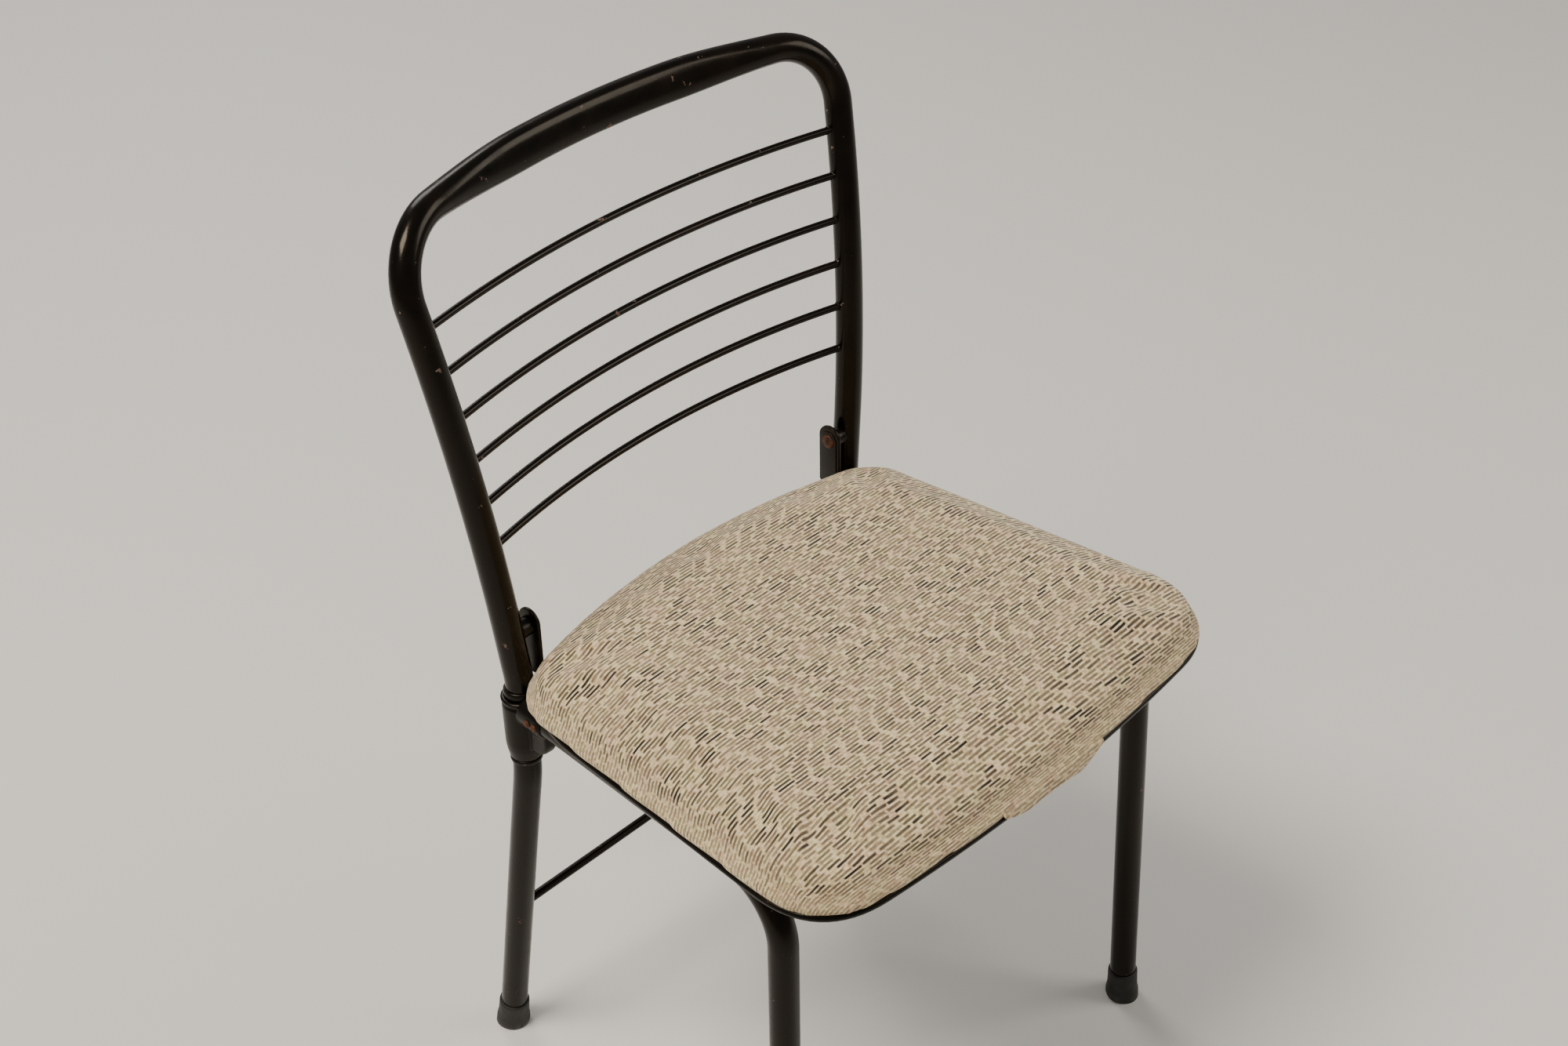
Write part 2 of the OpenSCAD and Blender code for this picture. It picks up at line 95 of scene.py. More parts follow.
class ChairColours(bpy.types.PropertyGroup):
    """Colours of the finishes, as sRGB."""
    enamel: colour_property("Enamel", "Stoved black enamel", "#070605")
    enamel_brown: colour_property("Enamel cast", "Brown cast where the enamel is thin", "#1c120a")
    primer: colour_property("Worn edge", "Polished worn edge", "#6d5f56")
    rust: colour_property("Rust", "Rust in chips and on rivets", "#5c2f18")
    zinc: colour_property("Zinc", "Zinc plate", "#b9bab4")
    rubber: colour_property("Rubber", "Feet", "#15140f")
    rubber_dust: colour_property("Dust", "Dust on rubber", "#5d564a")
    tweed_light: colour_property("Tweed light", "Cream weft", "#f2deb2")
    tweed_mid: colour_property("Tweed middle", "Oatmeal ground", "#b89668")
    tweed_dark: colour_property("Tweed dark", "Dark slub", "#1b150c")
    floor: colour_property("Floor", "Studio floor", "#e9e6e0")


def linear(srgb):
    """An sRGB colour as linear RGBA."""
    return tuple(c / 12.92 if c <= 0.04045 else ((c + 0.055) / 1.055) ** 2.4 for c in srgb) + (1.0,)


# ---------------------------------------------------------------- node trees
MATH, RANGE, MIX, NOISE = "ShaderNodeMath", "ShaderNodeMapRange", "ShaderNodeMix", "ShaderNodeTexNoise"
SMOOTH = {"interpolation_type": "SMOOTHSTEP"}     # a range that eases in and out; its ends may be swapped


def add(tree, kind, inputs=None, **settings):
    """Adds a node. Each input is a value, a node whose first output is linked, or an output socket."""
    made = tree.nodes.new(kind)
    for name, value in settings.items():
        setattr(made, name, value)
    for name, value in (inputs or {}).items():
        if isinstance(value, bpy.types.Node):
            value = value.outputs[0]
        if isinstance(value, bpy.types.NodeSocket):
            tree.links.new(value, made.inputs[name])
        else:
            made.inputs[name].default_value = value
    return made


def new_material(name):
    made = bpy.data.materials.new(name)
    made.use_nodes = True
    made.node_tree.nodes.clear()
    return made, made.node_tree


def enamel_material(name, colours, gloss, wear, brown):
    """Stoved black enamel on steel: dipped and baked, so it is glossy with a faint orange peel about 1.5 mm
    wide. It thins to brown in soft patches 30 mm wide, has hairline scuffs, and small chips that show rust."""
    made, tree = new_material(name)
    place = add(tree, "ShaderNodeTexCoord").outputs["Object"]
    patch = add(tree, NOISE, {"Vector": place, "Scale": 32.0, "Detail": 3.0})
    thin = add(tree, MATH, {0: add(tree, RANGE, {"Value": patch, "From Min": 0.42, "From Max": 0.72}, **SMOOTH),
        1: brown}, operation="MULTIPLY")
    coat = add(tree, MIX, {0: thin, 6: linear(colours.enamel), 7: linear(colours.enamel_brown)},
        data_type="RGBA").outputs[2]
    # chips: the tips of a 9 mm noise, broken up by a 1.5 mm one
    spots = add(tree, NOISE, {"Vector": place, "Scale": 110.0, "Detail": 2.0})
    grain = add(tree, NOISE, {"Vector": place, "Scale": 650.0, "Detail": 2.0})
    rough_spots = add(tree, MATH, {0: grain, 1: 0.25, 2: spots}, operation="MULTIPLY_ADD")
    chip = add(tree, RANGE, {"Value": rough_spots, "From Min": 0.96 - wear, "From Max": 0.975 - wear}, **SMOOTH)
    chip_colour = add(tree, MIX, {0: add(tree, RANGE, {"Value": grain, "From Min": 0.4, "From Max": 0.6},
        **SMOOTH), 6: linear(colours.rust), 7: linear(colours.primer)}, data_type="RGBA").outputs[2]
    base = add(tree, MIX, {0: chip, 6: coat, 7: chip_colour}, data_type="RGBA").outputs[2]
    # scuffs: noise stretched along the tube's height, 0.4 mm across and about 12 mm long
    stretched = add(tree, "ShaderNodeMapping", {"Vector": place, "Scale": (2400.0, 2400.0, 80.0)})
    scuff = add(tree, RANGE, {"Value": add(tree, NOISE, {"Vector": stretched, "Scale": 1.0, "Detail": 2.0}),
        "From Min": 0.66, "From Max": 0.78}, **SMOOTH)
    smudge = add(tree, NOISE, {"Vector": place, "Scale": 55.0, "Detail": 5.0, "Roughness": 0.6})
    rough = add(tree, RANGE, {"Value": smudge, "From Min": 0.3, "From Max": 0.7,
                                             "To Min": gloss - 0.05, "To Max": gloss + 0.08})
    rough = add(tree, MATH, {0: scuff, 1: 0.10, 2: rough}, operation="MULTIPLY_ADD")
    rough = add(tree, MATH, {0: chip, 1: 0.45, 2: rough}, operation="MULTIPLY_ADD")
    peel = add(tree, NOISE, {"Vector": place, "Scale": 420.0, "Detail": 1.0})
    height = add(tree, MATH, {0: chip, 1: -1.2, 2: peel}, operation="MULTIPLY_ADD")
    bump = add(tree, "ShaderNodeBump", {"Height": height, "Strength": 0.12, "Distance": 0.0003})
    add(tree, "ShaderNodeOutputMaterial", {"Surface": add(tree, "ShaderNodeBsdfPrincipled",
        { "Base Color": base, "Roughness": rough, "Normal": bump, "IOR": 1.5, "Specular IOR Level": 0.16,
            "Specular Tint": (1.0, 0.84, 0.64,
                1.0), "Coat Weight": 0.06, "Coat Roughness": 0.05, "Coat IOR": 1.5})})
    return made


def rivet_material(colours):
    """Steel rivet heads, once painted: rust-brown with bare specks on the crown."""
    made, tree = new_material("Rusted rivet steel")
    place = add(tree, "ShaderNodeTexCoord").outputs["Object"]
    speck = add(tree, NOISE, {"Vector": place, "Scale": 700.0, "Detail": 4.0, "Roughness": 0.7})
    stain = add(tree, NOISE, {"Vector": place, "Scale": 260.0, "Detail": 3.0})
    base = add(tree, MIX, {0: add(tree, RANGE, {"Value": stain, "From Min": 0.35, "From Max": 0.62}, **SMOOTH),
        6: linear(colours.enamel_brown), 7: linear(colours.rust)}, data_type="RGBA").outputs[2]
    base = add(tree, MIX, {0: add(tree, RANGE, {"Value": speck, "From Min": 0.58, "From Max": 0.7}, **SMOOTH),
        6: base, 7: linear(colours.primer)}, data_type="RGBA").outputs[2]
    rough = add(tree, RANGE, {"Value": speck, "To Min": 0.75, "To Max": 0.4})
    bump = add(tree, "ShaderNodeBump", {"Height": speck, "Strength": 0.5, "Distance": 0.0003})
    add(tree, "ShaderNodeOutputMaterial", {"Surface": add(tree, "ShaderNodeBsdfPrincipled",
        { "Base Color": base, "Roughness": rough, "Normal": bump, "Metallic": 0.45})})
    return made


def zinc_material(colours):
    """Zinc-plated screws and washers: pale metal, dulled in cloudy patches about 6 mm wide."""
    made, tree = new_material("Dulled zinc plate")
    place = add(tree, "ShaderNodeTexCoord").outputs["Object"]
    cloud = add(tree, NOISE, {"Vector": place, "Scale": 160.0, "Detail": 4.0})
    base = add(tree, MIX, {0: add(tree, RANGE, {"Value": cloud, "From Min": 0.3, "From Max": 0.75}, **SMOOTH),
        6: linear(colours.zinc), 7: linear(colours.primer)}, data_type="RGBA").outputs[2]
    rough = add(tree, RANGE, {"Value": cloud, "To Min": 0.3, "To Max": 0.6})
    bump = add(tree, "ShaderNodeBump", {"Height": cloud, "Strength": 0.2, "Distance": 0.0002})
    add(tree, "ShaderNodeOutputMaterial", {"Surface": add(tree, "ShaderNodeBsdfPrincipled",
        { "Base Color": base, "Roughness": rough, "Normal": bump, "Metallic": 1.0})})
    return made


def rubber_material(colours):
    """Moulded black rubber: matt, with a 0.8 mm grain, and floor dust on the lowest 12 mm."""
    made, tree = new_material("Moulded black rubber")
    place = add(tree, "ShaderNodeTexCoord").outputs["Object"]
    grain = add(tree, NOISE, {"Vector": place, "Scale": 900.0, "Detail": 3.0})
    cloud = add(tree, NOISE, {"Vector": place, "Scale": 140.0, "Detail": 4.0})
    level = add(tree, "ShaderNodeSeparateXYZ", {"Vector": place}).outputs["Z"]
    low = add(tree, RANGE, {"Value": level, "From Min": 12 * MM, "From Max": 0.0}, **SMOOTH)
    dusty = add(tree, MATH, {0: low, 1: add(tree, RANGE, {"Value": cloud, "From Min": 0.35, "From Max": 0.7},
        **SMOOTH)}, operation="MULTIPLY")
    dusty = add(tree, MATH, {0: dusty, 1: 0.45}, operation="MULTIPLY")
    base = add(tree, MIX, {0: dusty, 6: linear(colours.rubber), 7: linear(colours.rubber_dust)},
        data_type="RGBA").outputs[2]
    rough = add(tree, RANGE, {"Value": cloud, "To Min": 0.45, "To Max": 0.75})
    bump = add(tree, "ShaderNodeBump", {"Height": grain, "Strength": 0.25, "Distance": 0.0003})
    add(tree, "ShaderNodeOutputMaterial", {"Surface": add(tree, "ShaderNodeBsdfPrincipled",
        { "Base Color": base, "Roughness": rough, "Normal": bump})})
    return made


def tweed_material(colours):
    """Slub tweed, woven of cream and oatmeal yarn. Dark slub picks lie across the seat every 3.3 mm, each
    12 to 17 mm long and 40% of the pitch wide. Cream picks lie in
    the rows between, and the ground has a 0.9 mm weave. The wool's colour drifts to pink and to green over 30 mm."""
    made, tree = new_material("Slub tweed")

    cloth = add(tree, "ShaderNodeUVMap", uv_map="Cloth").outputs[0]
    wander = add(tree, NOISE, {"Vector": cloth, "Scale": 45.0, "Detail": 2.0})
    split = add(tree, "ShaderNodeSeparateXYZ", {"Vector": cloth})
    across = add(tree, MATH, {0: split.outputs["X"], 1: 1000.0}, operation="MULTIPLY")
    along = add(tree, MATH, {0: wander, 1: 0.9, 2: add(tree, MATH, {0: split.outputs["Y"], 1: 1000.0},
        operation="MULTIPLY")}, operation="MULTIPLY_ADD")

    def picks(pitch, offset, length, seed, low, high):
        """Broken threads across the seat: 1 on a pick, fading at its ends and edges. offset moves the rows."""
        row = add(tree, MATH, {0: along, 1: 1 / pitch, 2: offset}, operation="MULTIPLY_ADD")
        index = add(tree, MATH, {0: row}, operation="FLOOR")
        start = add(tree, "ShaderNodeTexWhiteNoise", {"Vector": (0, 0, seed), "W": index},
                    noise_dimensions="4D").outputs["Value"]
        cell = add(tree, MATH, {0: add(tree, MATH, {0: across, 1: length}, operation="DIVIDE"), 1: add(tree,
            MATH, {0: start, 1: 37.0}, operation="MULTIPLY")}, operation="ADD")
        number = add(tree, MATH, {0: cell}, operation="FLOOR")
        key = add(tree, "ShaderNodeCombineXYZ", {"X": index, "Y": number, "Z": seed})
        draw = add(tree, "ShaderNodeTexWhiteNoise", {"Vector": key}, noise_dimensions="3D")
        share = add(tree, RANGE, {"Value": draw.outputs["Value"], "To Min": low, "To Max": high})
        inside = add(tree, MATH, {0: cell}, operation="FRACT")
        tail = add(tree, MATH, {0: share, 1: inside}, operation="SUBTRACT")
        ends = add(tree, MATH, {0: add(tree, RANGE, {"Value": tail, "From Min": 0.0, "From Max": 0.12},
            **SMOOTH), 1: add(tree, RANGE, {"Value": inside, "From Min": 0.0, "From Max": 0.10},
                **SMOOTH)}, operation="MULTIPLY")
        middle = add(tree, MATH, {0: add(tree, MATH, {0: add(tree, MATH, {0: row}, operation="FRACT"), 1: 0.5},
            operation="SUBTRACT")}, operation="ABSOLUTE")
        body = add(tree, RANGE, {"Value": middle, "From Min": 0.38, "From Max": 0.20}, **SMOOTH)
        strength = add(tree, "ShaderNodeSeparateColor", {0: draw.outputs["Color"]}).outputs[1]
        return add(tree, MATH, {0: add(tree, MATH, {0: ends, 1: body}, operation="MULTIPLY"), 1: add(tree,
            RANGE, {"Value": strength, "To Min": 0.6, "To Max": 1.0})}, operation="MULTIPLY")

    dark = picks(3.3, 0.0, 17.0, 1.0, 0.7, 1.1)
    light = picks(3.3, 0.5, 8.0, 2.0, 0.2, 1.0)
    threads = add(tree, "ShaderNodeMapping", {"Vector": cloth, "Scale": (260.0, 1100.0, 1.0)})
    fibre = add(tree, NOISE, {"Vector": threads, "Scale": 1.0, "Detail": 3.0, "Roughness": 0.65})
    drift = add(tree, NOISE, {"Vector": cloth, "Scale": 34.0, "Detail": 3.0})
    tint = add(tree, NOISE, {"Vector": cloth, "Scale": 70.0, "Detail": 2.0})
    ground = add(tree, MIX, {0: add(tree, RANGE, {"Value": fibre, "From Min": 0.3, "From Max": 0.7}, **SMOOTH),
        6: linear(colours.tweed_mid), 7: linear(colours.tweed_light)}, data_type="RGBA").outputs[2]
    ground = add(tree, MIX, {0: light, 6: ground, 7: linear(colours.tweed_light)}, data_type="RGBA").outputs[2]
    fade = add(tree, "ShaderNodeAttribute", attribute_name="side").outputs["Fac"]
    shown = add(tree, MATH, {0: dark, 1: add(tree, RANGE, {"Value": fade, "To Min": 1.0, "To Max": 0.6})},
        operation="MULTIPLY")
    shown = add(tree, MATH, {0: shown, 1: add(tree, RANGE, { "Value": drift, "From Min": 0.35, "From Max": 0.65,
        "To Min": 0.78, "To Max": 1.1})}, operation="MULTIPLY")
    wool = add(tree, MIX, {0: shown, 6: ground, 7: linear(colours.tweed_dark)}, data_type="RGBA").outputs[2]
    hue = add(tree, RANGE, {"Value": tint, "From Min": 0.35, "From Max": 0.65,
                                           "To Min": 0.484, "To Max": 0.514})
    value = add(tree, RANGE, {"Value": drift, "From Min": 0.3, "From Max": 0.7,
                                             "To Min": 0.92, "To Max": 1.06})
    wool = add(tree, "ShaderNodeHueSaturation", {"Color": wool, "Hue": hue, "Value": value})
    # height: picks stand proud of a plain weave of 0.9 mm
    weave = add(tree, "ShaderNodeMapping", {"Vector": cloth, "Scale": (1100.0, 1100.0, 1.0)})
    checks = add(tree, "ShaderNodeTexChecker", {"Vector": weave, "Scale": 1.0}).outputs["Fac"]
    height = add(tree, MATH, {0: dark, 1: -0.7, 2: add(tree, MATH, {0: light, 1: 0.9, 2: add(tree, MATH,
        {0: checks, 1: 0.25,
            2: fibre}, operation="MULTIPLY_ADD")}, operation="MULTIPLY_ADD")}, operation="MULTIPLY_ADD")
    bump = add(tree, "ShaderNodeBump", {"Height": height, "Strength": 0.55, "Distance": 0.0006})
    add(tree, "ShaderNodeOutputMaterial", {"Surface": add(tree, "ShaderNodeBsdfPrincipled",
        { "Base Color": wool.outputs[0], "Roughness": 0.92, "Normal": bump, "Sheen Weight": 0.25,
            "Sheen Roughness": 0.5, "Specular IOR Level": 0.2})})
    return made


def floor_material(colours):
    """Seamless studio paper: matt, with the faintest cloudiness."""
    made, tree = new_material("Studio paper")
    place = add(tree, "ShaderNodeTexCoord").outputs["Object"]
    cloud = add(tree, NOISE, {"Vector": place, "Scale": 1.2, "Detail": 3.0})
    rough = add(tree, RANGE, {"Value": cloud, "To Min": 0.6, "To Max": 0.8})
    add(tree, "ShaderNodeOutputMaterial", {"Surface": add(tree, "ShaderNodeBsdfPrincipled",
        { "Base Color": linear(colours.floor), "Roughness": rough, "Specular IOR Level": 0.3})})
    return made


MATERIALS = {}


def material(name):
    """The named finish, made once."""
    if name not in MATERIALS:
        colours = bpy.context.scene.chair_colours
        makers = {
            "enamel": lambda: enamel_material("Black stoved enamel", colours, 0.22, 0.10, 0.35),
            "hinge": lambda: enamel_material("Worn brown-black enamel", colours, 0.34, 0.12, 0.9),
            "pan": lambda: enamel_material("Pan enamel", colours, 0.28, 0.09, 0.3),
            "rivet": lambda: rivet_material(colours),
            "zinc": lambda: zinc_material(colours),
            "rubber": lambda: rubber_material(colours),
            "tweed": lambda: tweed_material(colours),
            "floor": lambda: floor_material(colours),
        }
        MATERIALS[name] = makers[name]()
    return MATERIALS[name]


# ---------------------------------------------------------------- mesh helpers
def new_piece(name, points, faces, finish):
    mesh = bpy.data.meshes.new(name)
    mesh.from_pydata([tuple(p) for p in points], [], faces)
    mesh.validate()
    mesh.shade_smooth()
    piece = bpy.data.objects.new(name, mesh)
    bpy.context.scene.collection.objects.link(piece)
    piece.data.materials.append(material(finish))
    return piece


def settle(piece, body, nodes):
    """Turns the faces outwards, then says what the piece rides on and stands for."""
    work = bmesh.new()
    work.from_mesh(piece.data)
    bmesh.ops.remove_doubles(work, verts=work.verts, dist=1e-6)
    bmesh.ops.recalc_face_normals(work, faces=work.faces)
    work.to_mesh(piece.data)
    work.free()
    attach(piece, body)
    if nodes:
        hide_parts(*nodes)
    return piece


def sharpen(piece, angle=35):
    """Keeps edges sharper than the angle crisp in the shading."""
    piece.data.set_sharp_from_angle(angle=math.radians(angle))


def unit(v):
    return v.normalized()


def round_path(points, radii, step):
    """Points along a path whose inner corners are arcs of the given radii, about a step apart."""
    line = [points[0]]
    for i in range(1, len(points) - 1):
        a, b, c = points[i - 1], points[i], points[i + 1]
        u, w = unit(b - a), unit(c - b)
        turn = u.angle(w)
        reach = radii[i] * math.tan(turn / 2)
        normal = unit(u.cross(w))
        centre = b - u * reach + normal.cross(u) * radii[i]
        start = b - u * reach - centre
        count = max(2, math.ceil(radii[i] * turn / step))
        line += [centre + Matrix.Rotation(turn * k / count, 3, normal) @ start for k in range(count + 1)]
    line.append(points[-1])
    spread = [line[0]]
    for p in line[1:]:
        gap = (p - spread[-1]).length
        if gap > 1e-6:
            parts = max(1, math.ceil(gap / (4 * step)))
            last = spread[-1]
            spread += [last + (p - last) * (k / parts) for k in range(1, parts + 1)]
    return spread


def lengths(line):
    """Distance along a line at each of its points."""
    total = [0.0]
    for a, b in zip(line, line[1:]):
        total.append(total[-1] + (b - a).length)
    return total


def sweep(line, section, across, sides):
    """Skin round a line, capped at both ends. section(i, sides) gives the outline's points at line point i, and
    across is the direction that their first coordinate is measured in."""
    points, faces = [], []
    last = len(line) - 1
    for i, p in enumerate(line):
        before = line[i - 1] if i else p
        after = line[i + 1] if i < last else p
        t = unit(after - before)
        n = unit(across - t * across.dot(t))
        m = t.cross(n)
        for x, y in section(i, sides):
            points.append(p + n * x + m * y)
    for i in range(last):
        j = i + 1
        for k in range(sides):
            q = (k + 1) % sides
            faces.append((i * sides + k, i * sides + q, j * sides + q, j * sides + k))
    faces.append(tuple(range(sides - 1, -1, -1)))
    faces.append(tuple(last * sides + k for k in range(sides)))
    return points, faces


def ring(radius):
    """A round section for sweep()."""
    return lambda i, sides: [(radius * math.cos(2 * math.pi * k / sides),
        radius * math.sin(2 * math.pi * k / sides))
                             for k in range(sides)]


def lathe(profile, matrix, sides=48):
    """Closed skin turned about Z from (radius, height) pairs; a radius of 0 closes an end."""
    points, faces, rows = [], [], []
    for r, z in profile:
        if r < 1e-9:
            rows.append([len(points)] * sides)
            points.append(matrix @ Vector((0, 0, z)))
        else:
            rows.append(list(range(len(points), len(points) + sides)))
            points += [matrix @ Vector((r * math.cos(2 * math.pi * k / sides),
                r * math.sin(2 * math.pi * k / sides),
                                        z)) for k in range(sides)]
    loop = zip(rows, rows[1:] + ([rows[0]] if profile[0][0] > 1e-9 else []))
    for a, b in loop:
        for k in range(sides):
            q = (k + 1) % sides
            face = list(dict.fromkeys((a[k], a[q], b[q], b[k])))
            if len(face) > 2:
                faces.append(tuple(face))
    return points, faces


def merge(*skins):
    """Several (points, faces) as one."""
    points, faces = [], []
    for p, f in skins:
        faces += [tuple(k + len(points) for k in face) for face in f]
        points += p
    return points, faces


def plate(outline, thickness, matrix, bevel, segments=3):
    """Flat plate from (x, y) outline points, its edges rounded."""
    work = bmesh.new()
    low = [work.verts.new((x, y, 0)) for x, y in outline]
    bottom = work.faces.new(low[::-1])
    lifted = bmesh.ops.extrude_face_region(work, geom=[bottom])
    top = [v for v in lifted["geom"] if isinstance(v, bmesh.types.BMVert)]
    bmesh.ops.translate(work, verts=top, vec=(0, 0, thickness))
    work.faces.ensure_lookup_table()
    bmesh.ops.recalc_face_normals(work, faces=work.faces)
    rims = [e for e in work.edges if e.calc_face_angle(0) > math.radians(50)
            and abs(e.verts[0].co.z - e.verts[1].co.z) < 1e-9]
    bmesh.ops.bevel(work, geom=rims, offset=bevel, segments=segments, affect="EDGES", profile=0.5,
                    clamp_overlap=True)
    work.verts.index_update()
    points = [matrix @ v.co for v in work.verts]
    faces = [tuple(v.index for v in f.verts) for f in work.faces]
    work.free()
    return points, faces


def placed(x_axis, y_axis, z_axis, origin):
    return Matrix((
        (x_axis.x, y_axis.x, z_axis.x, origin.x), (x_axis.y, y_axis.y, z_axis.y, origin.y),
        (x_axis.z, y_axis.z, z_axis.z, origin.z), (0, 0, 0, 1)))


def axis_frame(origin, direction):
    """Matrix that puts Z along a direction."""
    z = unit(direction)
    x = unit(z.cross(Vector((0, 1, 0.3))))
    return placed(x, z.cross(x), z, origin)


def mirrored(points, side):
    return [Vector((p.x * side, p.y, p.z)) for p in points]


# ---------------------------------------------------------------- the chair's lines, as in the part
GRIP_DOWN, GRIP_UP = 66 * MM, 21 * MM
LEAN_LOW, LEAN_HIGH = 0.085, 0.275
TOP_Z, TOP_HALF_W, TOP_CORNER_R, TOP_BOW = 778.5 * MM, 220 * MM, 52 * MM, 34 * MM
KNEE_R, GRIP_BEND_R, FOOT_BEND_R = 1450 * MM, 160 * MM, 120 * MM
FOOT_FLOOR = 5 * MM


def chair_point(x, y, z):
    """A point given from the hinge line, in the shared frame."""
    return Vector((x, y + SHIFT, z))


def rear_lines():
    """Corner points of the rear frame's right side, and the bends at them."""
    tan_tilt = math.tan(TILT)
    low = chair_point(HINGE_HALF_W, -GRIP_DOWN * tan_tilt, RAIL_Z - GRIP_DOWN)
    top = chair_point(HINGE_HALF_W, GRIP_UP * tan_tilt, RAIL_Z + GRIP_UP)
    foot = Vector((175 * MM, low.y + 46 * MM, 0))
    rise = (TOP_Z - top.z) / 2
    knee = Vector((top.x + (TOP_HALF_W - top.x) / 2, top.y + LEAN_LOW * rise, top.z + rise))
    corner = Vector((TOP_HALF_W, knee.y + LEAN_HIGH * rise, TOP_Z))
    apex_out = TOP_BOW / (1 - (TOP_HALF_W - TOP_CORNER_R) / (2 * TOP_HALF_W))
    return foot, low, top, knee, corner, Vector((0, corner.y + apex_out, TOP_Z))


def upright_at(z):
    """Centre line of the right upright at a height."""
    top, knee, corner = rear_lines()[2:5]
    reach = KNEE_R * math.tan((knee - top).angle(corner - knee) / 2)
    start, end = knee - unit(knee - top) * reach, knee + unit(corner - knee) * reach
    if z < start.z:
        return top.lerp(knee, (z - top.z) / (knee.z - top.z))
    if z > end.z:
        return knee.lerp(corner, (z - knee.z) / (corner.z - knee.z))
    t = (z - start.z) / (end.z - start.z)
    return start * (1 - t) ** 2 + knee * (2 * t * (1 - t)) + end * t ** 2


SEAT_FRAME = Matrix.Translation((0, SHIFT, RAIL_Z)) @ Matrix.Rotation(-TILT, 4, "X")


def gate_lines():
    """Corner points of the right gate: rail root, leg top, foot."""
    root = Vector((HINGE_HALF_W, SHIFT, RAIL_Z))
    top = chair_point(203.5 * MM, -288 * MM * math.cos(TILT), RAIL_Z + 288 * MM * math.sin(TILT))
    foot = Vector((214 * MM, top.y - 29 * MM, 0))
    return root, top, foot


def on_rail():
    """Frame at the right knuckle: Z along the hinge axis, -Y along the side rail."""
    turn = math.atan((203.5 - 182.0) / 288.0)
    return SEAT_FRAME @ Matrix.Translation((HINGE_HALF_W, 0, 0)) @ Matrix.Rotation(turn, 4, "Z")


# ---------------------------------------------------------------- geometry nodes
def tube_tree():
    """Round bars along the input's edges, with a bead of weld at each bar's two ends."""
    tree = bpy.data.node_groups.new("Bars with weld beads", "GeometryNodeTree")
    face = tree.interface
    face.new_socket("Lines", in_out="INPUT", socket_type="NodeSocketGeometry")
    for label in ("Bar radius", "Bead radius", "Bead roughness"):
        face.new_socket(label, in_out="INPUT", socket_type="NodeSocketFloat")
    face.new_socket("Seed", in_out="INPUT", socket_type="NodeSocketInt")
    face.new_socket("Finish", in_out="INPUT", socket_type="NodeSocketMaterial")
    face.new_socket("Bars", in_out="OUTPUT", socket_type="NodeSocketGeometry")
    given = add(tree, "NodeGroupInput")
    line = add(tree, "GeometryNodeMeshToCurve", {"Mesh": given.outputs["Lines"]})
    profile = add(tree, "GeometryNodeCurvePrimitiveCircle", {"Resolution": 20,
        "Radius": given.outputs["Bar radius"]})
    bars = add(tree, "GeometryNodeCurveToMesh", {"Curve": line, "Profile Curve": profile.outputs["Curve"],
                                                 "Fill Caps": True})
    ends = add(tree, "GeometryNodeCurveEndpointSelection", {"Start Size": 1, "End Size": 1})
    spots = add(tree, "GeometryNodeCurveToPoints", {"Curve": line}, mode="EVALUATED")
    bead = add(tree, "GeometryNodeMeshIcoSphere", {"Radius": given.outputs["Bead radius"], "Subdivisions": 4})
    turns = add(tree, "FunctionNodeRandomValue", {"Seed": given.outputs["Seed"], 0: (0, 0, 0), 1: (6.28, 6.28,
        6.28)},
                data_type="FLOAT_VECTOR")
    tagged = add(tree, "GeometryNodeStoreNamedAttribute", {"Geometry": line, "Name": "end", "Value": ends},
                 data_type="BOOLEAN", domain="POINT")
    tree.links.new(tagged.outputs[0], spots.inputs["Curve"])
    is_end = add(tree, "GeometryNodeInputNamedAttribute", {"Name": "end"}, data_type="BOOLEAN")
    beads = add(tree, "GeometryNodeInstanceOnPoints", {"Points": spots.outputs["Points"],
                                                      "Selection": is_end.outputs["Attribute"],
                                                      "Instance": bead.outputs["Mesh"], "Rotation": turns,
                                                      "Scale": (1.0, 0.8, 1.05)})
    solid = add(tree, "GeometryNodeRealizeInstances", {"Geometry": beads})
    lumps = add(tree, NOISE, {"Scale": 320.0, "Detail": 2.0})
    centred = add(tree, MATH, {0: lumps, 1: 0.5}, operation="SUBTRACT")
    lift = add(tree, MATH, {0: centred, 1: given.outputs["Bead roughness"]}, operation="MULTIPLY")
    outwards = add(tree, "ShaderNodeVectorMath", {0: add(tree, "GeometryNodeInputNormal"), "Scale": lift},
                   operation="SCALE")
    rough = add(tree, "GeometryNodeSetPosition", {"Geometry": solid, "Offset": outwards})
    joined = add(tree, "GeometryNodeJoinGeometry")
    tree.links.new(rough.outputs[0], joined.inputs[0])
    tree.links.new(bars.outputs[0], joined.inputs[0])
    smooth = add(tree, "GeometryNodeSetShadeSmooth", {"Geometry": joined})
    finished = add(tree, "GeometryNodeSetMaterial", {"Geometry": smooth, "Material": given.outputs["Finish"]})
    add(tree, "NodeGroupOutput", {"Bars": finished})
    return tree


